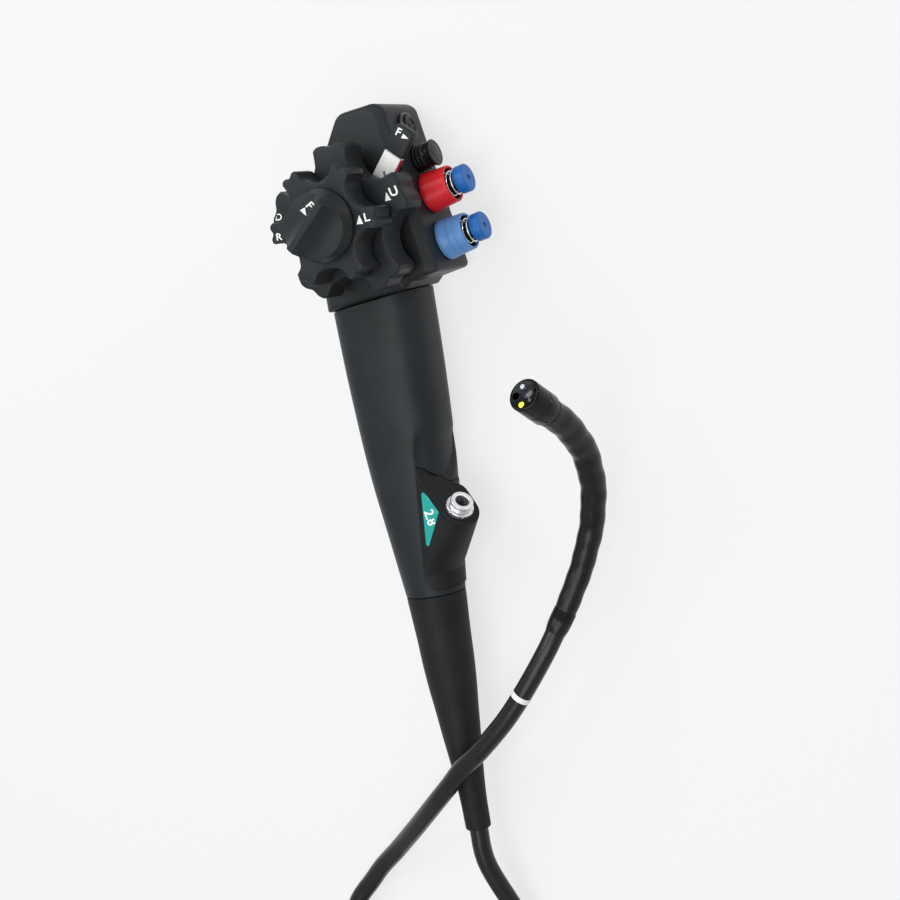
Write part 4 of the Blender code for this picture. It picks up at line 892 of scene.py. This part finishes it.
print("valves and switches")
valve = {"x": 0.0250, "z": 0.0200, "sleeve": 0.0056, "seat": 0.0030, "collar": 0.0088, "mouth": 0.0080,
         "length": 0.0124, "bore": 0.0069, "floor": 0.0048, "stem": 0.0036, "piston": 0.0044, "cap": 0.0060,
         "capLong": 0.0048, "capLow": 0.0150, "spring": 0.0052, "wire": 0.0004, "turns": 4.0, "pressed": 0.56,
         "groove": 0.00022, "gap": 0.0003}
coilTree = springTree()


def wallPlace(y):
    # a place on the valve wall, Z outwards
    return headTurn @ along((valve["x"], y, valve["z"]), (1, 0, 0))


def turned(name, profile, place, finish, body, slot, *nodes, steps=64, ring=False, smooth=40):
    return addPiece(name, revolve(name, profile, steps, place, ring), finish, body, slot, *nodes, smooth=smooth)


def buildValve(name, y, collarFinish, collarSlot, grooves):
    place, gap = wallPlace(y), valve["gap"]
    length, mouth, wide = valve["length"], valve["mouth"], valve["collar"]
    bore, stem, piston, capLow = valve["bore"], valve["stem"], valve["piston"], valve["capLow"]
    profile = arc(mouth - 0.0005, length - 0.0005, 0.0005, 90, 0)
    for at in grooves:
        r = mouth + (wide - 0.0002 - mouth) * (length - at) / (length - 0.0030)
        deep = r - valve["groove"]
        profile += [(r, at + 0.00030), (deep, at + 0.00014), (deep, at - 0.00014), (r, at - 0.00030)]
    profile += [(wide - 0.0003, 0.0034), (wide - 0.00015, 0.0030), (wide, 0.0022)]
    profile += arc(wide - 0.0004, gap + 0.0004, 0.0004, 0, -90)
    inside, floorAt = valve["sleeve"] + gap, valve["seat"] + gap
    profile += [(inside, gap), (inside, floorAt), (stem + 0.0020, floorAt), (stem + 0.0020, valve["floor"]),
                (bore, valve["floor"])]
    profile += arc(bore + 0.0004, length - 0.0004, 0.0004, 180, 90, 4)
    turned(name + "Cup", profile, place, collarFinish, root, collarSlot, name + "_collar", steps=72, ring=True)
    liner = [(bore - 0.0003, 0.0050), (bore + 0.0002, 0.0050), (bore + 0.0002, length - 0.0007),
             (bore - 0.0003, length - 0.0009)]
    turned(name + "Liner", liner, place, rubber, root, "black_soft", ring=True)
    shape = [(0, capLow), (stem, capLow), (stem, 0.0020), (piston, 0.0010), (piston, -0.0075), (0, -0.0075)]
    turned(name + "Stem", shape, place, darkSteel, name + "_button", "steel", name + "_piston", steps=48, smooth=30)
    r, low, top = valve["cap"], capLow + gap, capLow + gap + valve["capLong"]
    shape = [(0, top - 0.0010), (0.0009, top - 0.0010), (0.0010, top - 0.0002), (0.0012, top), (r - 0.0012, top)]
    shape += arc(r - 0.0009, top - 0.0009, 0.0009, 80, 0)
    shape += [(r, low + 0.0017), (r - 0.0003, low + 0.0015), (r - 0.0003, low + 0.0011), (r, low + 0.0009),
              (r - 0.0001, low + 0.0003), (r - 0.0005, low), (0, low)]
    turned(name + "Button", shape, place, blueNylon, name + "_button", "bright_blue", name + "_cap", smooth=35)
    base = valve["floor"] + gap + valve["wire"]
    sizes = {"Radius": valve["spring"], "Wire": valve["wire"], "Length": capLow - base - valve["wire"],
             "Turns": valve["turns"]}
    coil = runTree(name + "Coil", coilTree, sizes, steel, place @ Matrix.Translation((0, 0, base)), root, "steel",
                   name + "_spring", smooth=60)
    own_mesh(coil)


buildValve("suction", 0.0025, redNylon, "red_resin", ())
buildValve("air_water", -0.0185, paleBlueNylon, "pale_blue", (0.0088, 0.0058))


# switches

remote = {"y": 0.0175, "ring": 0.0060, "length": 0.0060, "fold": 0.0007, "foldPitch": 0.0018, "key": 0.0048,
          "disc": 0.0058, "out": 0.0034, "deep": 0.0040, "gap": 0.0003}
place = wallPlace(remote["y"])
bore, ringR, length, gap = remote["key"] + remote["gap"], remote["ring"], remote["length"], remote["gap"]
bellows = [(bore, gap)]
for k in range(3):
    bellows += arc(ringR - remote["fold"], 0.0010 + remote["foldPitch"] * k, remote["fold"], -80, 80, 6)
bellows += [(ringR - 0.0004, length - 0.0003), (ringR - 0.0007, length), (bore, length)]
turned("switchBellows", bellows, place, silicone, root, "black_soft", "switch_collar", ring=True, smooth=50)
reach, disc, key, deep = length + remote["out"], remote["disc"], remote["key"], remote["deep"]
button = [(0, reach - 0.0001), (disc - 0.0016, reach - 0.0001), (disc - 0.0013, reach - 0.0002),
          (disc - 0.0010, reach - 0.0001)] + arc(disc - 0.0005, reach - 0.0006, 0.0005, 75, -40)
button += [(disc - 0.0004, reach - 0.0016), (key, length + 0.0013), (key, -deep), (0, -deep)]
turned("switchKey", button, place, silicone, "remote_switch", "black_gloss", "switch_button", smooth=35)

freeze = {"y": 0.0320, "rim": 0.0062, "key": 0.0046, "deep": 0.0040, "gap": 0.0003}
place, r = wallPlace(freeze["y"]), freeze["key"]
rim = [(r + 0.0003, freeze["gap"]), (r + 0.0003, 0.0014), (r + 0.0006, 0.0018)]
rim += arc(freeze["rim"] - 0.0006, 0.0013, 0.0006, 90, 0) + [(freeze["rim"], freeze["gap"])]
turned("freezeBezel", rim, place, darkSteel, root, "dark_steel", "freeze_rim", ring=True)
dome = [(0, 0.0026), (0.0014, 0.0025), (0.0022, 0.0021), (0.0027, 0.0021), (0.0031, 0.0025)]
dome += arc(r - 0.0008, 0.0020, 0.0008, 80, 0) + [(r, -freeze["deep"]), (0, -freeze["deep"])]
turned("freezeKey", dome, place, silicone, "freeze_switch", "black_soft", "freeze_button")


# grip, port housing and bend protector

print("grip")
# rows: distance from the head's centre, half width, half depth, squareness
grip = {"x": -0.0075, "z": 0.0185, "wall": 0.0044, "fair": 0.0450, "lean": 6.6, "rise": 0.0006, "gap": 0.0003,
        "depth": 0.0060, "sides": 128,
        "rows": ((0.0332, 0.0213, 0.0185, 2.9), (0.0600, 0.0209, 0.0183, 2.8), (0.0780, 0.0204, 0.0180, 2.7),
                 (0.0990, 0.0195, 0.0174, 2.6), (0.1150, 0.0184, 0.0166, 2.5), (0.1350, 0.0164, 0.0154, 2.3),
                 (0.1530, 0.0146, 0.0142, 2.15), (0.1657, 0.0134, 0.0133, 2.0))}
gripTop, gripEnd = grip["rows"][0][0], grip["rows"][-1][0]


def gripSize(at):
    # half width, half depth and squareness, on a smooth curve through the rows
    rows = grip["rows"]
    i = max(0, min(len(rows) - 2, sum(r[0] <= at for r in rows) - 1))
    a, b, c, d = rows[max(i - 1, 0)], rows[i], rows[i + 1], rows[min(i + 2, len(rows) - 1)]
    span = c[0] - b[0]
    t = (at - b[0]) / span
    out = []
    for k in (1, 2, 3):
        m0 = (c[k] - a[k]) / (c[0] - a[0]) * span
        m1 = (d[k] - b[k]) / (d[0] - b[0]) * span
        out.append((2 * t ** 3 - 3 * t * t + 1) * b[k] + (t ** 3 - 2 * t * t + t) * m0
                   + (3 * t * t - 2 * t ** 3) * c[k] + (t ** 3 - t * t) * m1)
    return out


def onGrip(size, c, s, rise):
    # x and z on the grip's section, for the cosine and sine of an angle
    w, d, q = size
    return (grip["x"] + (w + rise) * math.copysign(abs(c) ** (2 / q), c),
            grip["z"] + (d + rise) * math.copysign(abs(s) ** (2 / q), s))


def gripRing(at, rise=0.0):
    # near the head the rings lean as the seam does
    size = gripSize(at)
    lean = math.tan(math.radians(grip["lean"])) * max(0.0, 1.0 - (at - gripTop) / grip["fair"])
    ring = []
    for k in range(grip["sides"]):
        x, z = onGrip(size, *circlePoint(1, k, grip["sides"]), rise)
        ring.append((x, lean * x - at, z))
    return ring


# outline of the panel that carries the port, seen from above, from its top corner down the left side
panel = ((0.0021, -0.1072), (0.0008, -0.1170), (-0.0005, -0.1270), (-0.0026, -0.1430), (-0.0041, -0.1550),
         (-0.0041, -0.1590), (-0.0026, -0.1617), (0.0000, -0.1628), (0.0340, -0.1628), (0.0340, -0.1184),
         (0.0200, -0.1184), (0.0108, -0.1172), (0.0081, -0.1139), (0.0058, -0.1112), (0.0038, -0.1089))


def panelPrism(grow):
    outline = []
    for i, here in enumerate(panel):
        before = Vector(here) - Vector(panel[i - 1])
        after = Vector(panel[(i + 1) % len(panel)]) - Vector(here)
        first, second = Vector((before.y, -before.x)).normalized(), Vector((after.y, -after.x)).normalized()
        shift = (first + second) / (1 + first.dot(second)) * grow
        outline.append((here[0] + shift.x, here[1] + shift.y))
    low = grip["z"] - grip["depth"] - grow
    return meshFromRings("panelPrism", [[(x, y, z) for x, y in outline] for z in (low, 0.0600)])


port = {"top": (0.0210, -0.1240, 0.0330), "way": (0.62, 0.68, 0.39), "rimR": 0.0050, "rimT": 0.0014, "neckR": 0.0042,
        "neckH": 0.0020, "flangeR": 0.0062, "flangeT": 0.0020, "bore": 0.0030, "rampEnd": 0.1556, "scoopStart": 0.0080,
        "scoopR": 0.0253, "wall": 0.0060, "soft": 0.0018, "deepest": 0.0036, "crestHigh": 0.0166,
        "collar": ((-0.0060, 0.0090), (0.0006, 0.0092), (0.0050, 0.0095)), "notch": (0.0016, 0.0007, 0.0030)}
portWay = Vector(port["way"]).normalized()
seat = Vector(port["top"]) - portWay * (port["rimT"] + port["neckH"] + port["flangeT"] + grip["gap"])
portSide = portWay.cross(Vector((0, 0, 1))).normalized()
portUp = portSide.cross(portWay)
crestTop = Vector((*panel[0], grip["z"] + port["crestHigh"])) - seat
towards = (crestTop - portWay * crestTop.dot(portWay)).normalized()
sideways = portWay.cross(towards)


def dished(point):
    # the grip surface falls softly into the dish above the port
    p = Vector(point)
    scoopR, soft = port["scoopR"], port["soft"]
    u, w = (p - seat).dot(towards), (p - seat).dot(portWay)
    past = max(0.0, u - port["scoopStart"])
    run = min(past, scoopR * 0.995)
    floorAt = scoopR - math.sqrt(scoopR ** 2 - run * run) + max(0.0, u - port["scoopStart"] - run) * 10
    share = min(1.0, max(0.0, 0.5 + 0.5 * (floorAt - w) / soft))
    drop = floorAt + (w - floorAt) * share - soft * share * (1 - share) - w
    return p + portWay * max(drop, -port["deepest"])


outer = [gripRing(0.0332, -0.0006), gripRing(0.03325, -0.0003), gripRing(0.0334, -0.0001), gripRing(0.0338)]
# the rings stand close together where the dish is
for start, end, count in ((0.0345, 0.0960, 22), (0.0960, 0.1250, 44), (0.1250, 0.1648, 16)):
    for k in range(0 if start < 0.0960 else 1, count + 1):
        at = start + (end - start) * k / count
        outer.append([dished(p) if 0.095 < at < 0.130 and p[0] > -0.004 else p for p in gripRing(at)])
outer += [gripRing(0.1653), gripRing(0.16560, -0.0001), gripRing(gripEnd, -0.0004)]
inner = [gripRing(gripEnd - (gripEnd - gripTop) * k / 20, -grip["wall"]) for k in range(21)]
gripBody = addPiece("gripBody", meshFromRings("gripBody", outer + inner, loop=True), resin)
carve(gripBody, panelPrism(grip["gap"]))
dress(gripBody, root, "black_resin", "grip_shell")


def panelTop(x):
    top = sorted((*panel[10:], panel[0]))
    for a, b in zip(top, top[1:]):
        if x <= b[0]:
            return a[1] + (b[1] - a[1]) * (x - a[0]) / (b[0] - a[0])
    return top[-1][1]


def rampHull():
    # the boss around the seat joined to the panel by straight flanks
    bm = bmesh.new()
    for behind, r in port["collar"]:
        for x, y in [circlePoint(r, k, 64) for k in range(64)]:
            bm.verts.new(seat - portWay * behind + portSide * x + portUp * y)
    edge = panel[:6]
    rampTop = edge[0][1] - 0.0006
    for row in range(22):
        y = rampTop - (port["rampEnd"] + rampTop) * row / 21
        size = gripSize(-y)
        left = next(a[0] + (b[0] - a[0]) * (y - a[1]) / (b[1] - a[1]) for a, b in zip(edge, edge[1:]) if y >= b[1])
        start = math.acos(min(1.0, ((left - grip["x"]) / size[0]) ** (size[2] / 2)))
        for k in range(13):
            a = start * (1 - k / 12) - 0.10 * k / 12
            x, z = onGrip(size, abs(math.cos(a)), math.sin(a), grip["rise"])
            if y < panelTop(x):
                bm.verts.new((x, y, z))
    hull = bmesh.ops.convex_hull(bm, input=bm.verts)
    inside = [g for g in hull["geom_interior"] if isinstance(g, bmesh.types.BMVert)]
    bmesh.ops.delete(bm, geom=inside, context="VERTS")
    bmesh.ops.recalc_face_normals(bm, faces=bm.faces)
    return newMesh("rampHull", bm)


def scoopMesh():
    # cuts the dish: flat at the seat, then rising on a round curve towards the crest
    scoopStart, scoopR = port["scoopStart"], port["scoopR"]
    profile = [(-0.0300, 0.0)] + arc(scoopStart, scoopR, scoopR, -90, -15, 40)
    profile += [(scoopStart + scoopR, 0.0500), (-0.0300, 0.0500)]
    return meshFromRings("scoop", [[seat + towards * u + portWay * w + sideways * v for u, w in profile]
                                   for v in (-0.03, 0.03)])


boss = addPiece("portBoss", meshFromRings("portBoss", [gripRing(0.098 + 0.0679 * k / 40, grip["rise"])
                                                       for k in range(41)]), rubber)
carve(boss, rampHull(), "UNION")
blend = boss.modifiers.new("voxels", "REMESH")
blend.mode = "VOXEL"
blend.voxel_size = 0.00034
calm = boss.modifiers.new("calm", "SMOOTH")
calm.factor = 0.5
calm.iterations = 60
applied(boss)
carve(boss, panelPrism(0.0), "INTERSECT")
carve(boss, meshFromRings("hollow", [gripRing(0.096 + 0.072 * k / 12, -port["wall"]) for k in range(13)]))
carve(boss, scoopMesh())
carve(boss, plug(port["bore"] + 0.0009, 0.01, -0.04, 48, along(seat, portWay)))
paint(boss.data, rubber)
dress(boss, root, "black_soft", "port_housing", smooth=34)

bore, rimR, neckR, flangeR, flange = (port[k] for k in ("bore", "rimR", "neckR", "flangeR", "flangeT"))
neck, top = flange + port["neckH"], flange + port["neckH"] + port["rimT"]
portProfile = arc(rimR - 0.0003, top - 0.0003, 0.0003, 90, 0, 4) + [(rimR, neck + 0.0001), (rimR - 0.0001, neck)]
portProfile += [(neckR, neck), (neckR, flange + 0.0002), (neckR + 0.0002, flange)]
portProfile += arc(flangeR - 0.0004, flange - 0.0004, 0.0004, 90, 0, 4)
portProfile += [(flangeR, 0), (bore + 0.0006, 0), (bore + 0.0006, -0.0080), (bore, -0.0080), (bore, top - 0.0004)]
portProfile += arc(bore + 0.0004, top - 0.0004, 0.0004, 180, 90, 4)
metalPort = addPiece("channelInlet", revolve("channelInlet", portProfile, 72, None, True), satinSteel)
notches = runTree("flangeNotches", ringTree(), {"Radius": flangeR, "Count": 6, "Size": port["notch"]}, satinSteel,
                  Matrix.Translation((0, 0, flange + 0.0004)), root, None)
cutterMesh = notches.data.copy()
bpy.data.objects.remove(notches)
carve(metalPort, cutterMesh)
metalPort.data.transform(along(seat + portWay * grip["gap"], portWay, math.radians(20)))
paint(metalPort.data, satinSteel)
dress(metalPort, root, "steel", "channel_port", smooth=35)

# rows: distance from the head's centre, radius
bootRows = ((0.1660, 0.0134), (0.1860, 0.0122), (0.1980, 0.0117), (0.2090, 0.0109), (0.2200, 0.0098),
            (0.2310, 0.0088), (0.2480, 0.0071), (0.2620, 0.0061), (0.2760, 0.0058))
bootLine = catmull([Vector((r, -at, 0)) for at, r in bootRows], 6)
bootProfile = [(bootRows[0][1] - 0.0004, -0.1660), (bootRows[0][1] - 0.0001, -0.16615)]
bootProfile += [(p.x, p.y) for p in bootLine[1:-1]] + arc(0.0052, -0.2754, 0.0006, 0, -90, 5)
bootProfile += [(0.0047, -0.2760), (0.0047, -0.2400), (0.0062, -0.2200), (0.0085, -0.1900), (0.0104, -0.1660)]
turned("bendGuard", bootProfile, along((grip["x"], 0, grip["z"]), (0, 1, 0)), rubber, root, "black_soft",
       "bend_protector", steps=96, ring=True)

nodeFinishes = {"bend_ferrule": steel, "tip_socket": steel, "air_water_nozzle": darkSteel, "ud_shaft": steel,
                "lr_shaft": steel, "knob_post": steel, "chassis_plate": darkSteel, "ud_sprocket": brass,
                "lr_sprocket": brass, "suction_sleeve": steel, "air_water_sleeve": steel, "cord_socket": darkSteel}
nodeFinishes.update({f"bend_link_{i:02d}": steel for i in range(1, bend["hinges"])})
for node, finish in nodeFinishes.items():
    paint(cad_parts[node].data, finish)


# printed marks, laid on the surfaces they are printed on

print("marks")
eye = Vector(view["eye"])
focal = view["lens"] / view["sensor"] * view["pixels"]
middlePixel = view["pixels"] / 2


def onSurface(tree, px, py, lift=0.0):
    # where the sight line through a picture point meets a surface
    across, down = (px - middlePixel) / focal, (py - middlePixel) / focal
    ray = (right * across - back.cross(right) * down - back).normalized()
    hit, normal, index, far = tree.ray_cast(eye, ray)
    return hit + (normal if normal.dot(ray) < 0 else -normal) * lift if hit else None


def surfaceOf(obj):
    return BVHTree.FromObject(obj, bpy.context.evaluated_depsgraph_get())


def letterMesh(text):
    curve = bpy.data.curves.new("lettering", "FONT")
    curve.body = text
    curve.align_x = "CENTER"
    curve.align_y = "CENTER"
    curve.resolution_u = 6
    curve.offset = 0.02
    host = linked("lettering", curve)
    bpy.context.view_layer.update()
    mesh = bpy.data.meshes.new_from_object(host.evaluated_get(bpy.context.evaluated_depsgraph_get()))
    bpy.data.objects.remove(host)
    return mesh


# flat shapes in parts of the mark's size
marking = {"lift": 0.00010, "sink": 0.00003,
           "arrow": (((-0.26, -0.36), (0.26, -0.36), (0.0, 0.36)),),
           "hook": (((-0.50, -0.10), (-0.36, -0.34), (-0.10, -0.44), (-0.12, -0.28), (-0.28, -0.20), (-0.36, -0.02)),
                    ((-0.14, -0.56), (0.20, -0.40), (-0.08, -0.14)))}


def printMark(name, target, body, at, size, turn, shape, ink=whiteInk):
    # at and size in picture points, turn clockwise in degrees; shape is a text or the name of a flat shape
    flat = bmesh.new()
    if shape in marking:
        for corners in marking[shape]:
            flat.faces.new([flat.verts.new((x, y, 0)) for x, y in corners])
    else:
        flat.from_mesh(letterMesh(shape))
    bmesh.ops.remove_doubles(flat, verts=flat.verts, dist=1e-5)
    tree = surfaceOf(target)
    c, s = math.cos(math.radians(turn)), math.sin(math.radians(turn))
    lost = []
    for v in flat.verts:
        x, y = v.co.x, v.co.y
        spot = onSurface(tree, at[0] + size * (x * c + y * s), at[1] + size * (x * s - y * c), marking["lift"])
        if spot is None:
            lost.append(v)
        else:
            v.co = spot
    bmesh.ops.delete(flat, geom=lost, context="VERTS")
    bmesh.ops.solidify(flat, geom=flat.faces[:], thickness=marking["lift"] + marking["sink"])
    bmesh.ops.recalc_face_normals(flat, faces=flat.faces)
    addPiece(name, newMesh(name, flat), ink, body, smooth=30)


printMark("markD", wheels["ud"], "ud_knob", (278.6, 217.4), 9.6, -4, "D")
printMark("markR", wheels["lr"], "lr_knob", (279.0, 237.2), 9.8, -8, "R")
printMark("markU", wheels["ud"], "ud_knob", (393.6, 191.6), 13.0, -22, "U")
printMark("markUArrow", wheels["ud"], "ud_knob", (387.2, 196.4), 12.0, -14, "arrow")
printMark("markL", wheels["lr"], "lr_knob", (366.6, 217.6), 12.0, -14, "L")
printMark("markLArrow", wheels["lr"], "lr_knob", (359.6, 219.6), 12.6, -6, "arrow")
printMark("markBrakeF", brakeKnob, "lr_brake", (309.6, 205.6), 11.2, 48, "F")
printMark("markBrakeArrow", brakeKnob, "lr_brake", (304.4, 212.4), 11.2, 150, "arrow")
printMark("markLeverF", leverTip, "ud_brake", (398.3, 132.2), 11.0, 26, "F")
printMark("markLeverArrow", leverTip, "ud_brake", (405.4, 137.4), 9.6, 116, "arrow")
printMark("markLeverHook", arm, "ud_brake", (389.5, 172.5), 13.0, 20, "hook", greyInk)

# picture points of the coloured label's corners and of the crest beside the dish
labelSet = {"corners": ((427.4, 553.0, 1.6), (438.9, 512.8, 1.6), (421.2, 488.4, 1.6)), "lift": 0.00030, "sink": 0.0003,
            "crestR": 0.00022, "crestStep": 0.0007,
            "crest": ((417.2, 475.4), (418.9, 479.4), (422.8, 485.6), (428.3, 493.9), (433.9, 501.1), (439.4, 508.9),
                      (443.9, 514.4), (448.3, 518.9), (452.8, 521.7), (457.2, 522.8), (463.0, 522.5), (468.5, 520.5),
                      (473.0, 517.0))}
rounded = [tuple(p) for p in roundedOutline(labelSet["corners"], 6)]
labelOutline = [Vector(a).lerp(Vector(b), k / 8) for a, b in zip(rounded, rounded[1:] + rounded[:1]) for k in range(8)]
middle = sum(labelOutline, Vector((0, 0))) / len(labelOutline)
bossTree = surfaceOf(boss)
labelRings = []
for lift, shares in ((-labelSet["sink"], (0.02, 0.4, 0.8)), (0.0, (1.0,)),
                     (labelSet["lift"], (0.985, 0.9, 0.7, 0.5, 0.3, 0.1, 0.02))):
    for share in shares:
        labelRings.append([onSurface(bossTree, *(middle + (p - middle) * share), lift) for p in labelOutline])
crestPath = [spot for spot in (onSurface(bossTree, x, y) for x, y in labelSet["crest"]) if spot]
crest = sweptTube("dishCrest", evenly(catmull(crestPath, 6), labelSet["crestStep"]), labelSet["crestR"], 8)
# the crest bead is a real moulded ridge; giving it the lighter resin instead of the boss's elastomer is painted
# highlight along the ridge
addPiece("dishCrest", crest, resin, root, "black_soft", smooth=60)
label = addPiece("channelLabel", meshFromRings("channelLabel", labelRings), tealInk, root, smooth=30)
printMark("markChannel", label, root, (430.2, 517.6), 13.0, 72, "2.8")


# finish

bpy.context.view_layer.update()
print("finishing")
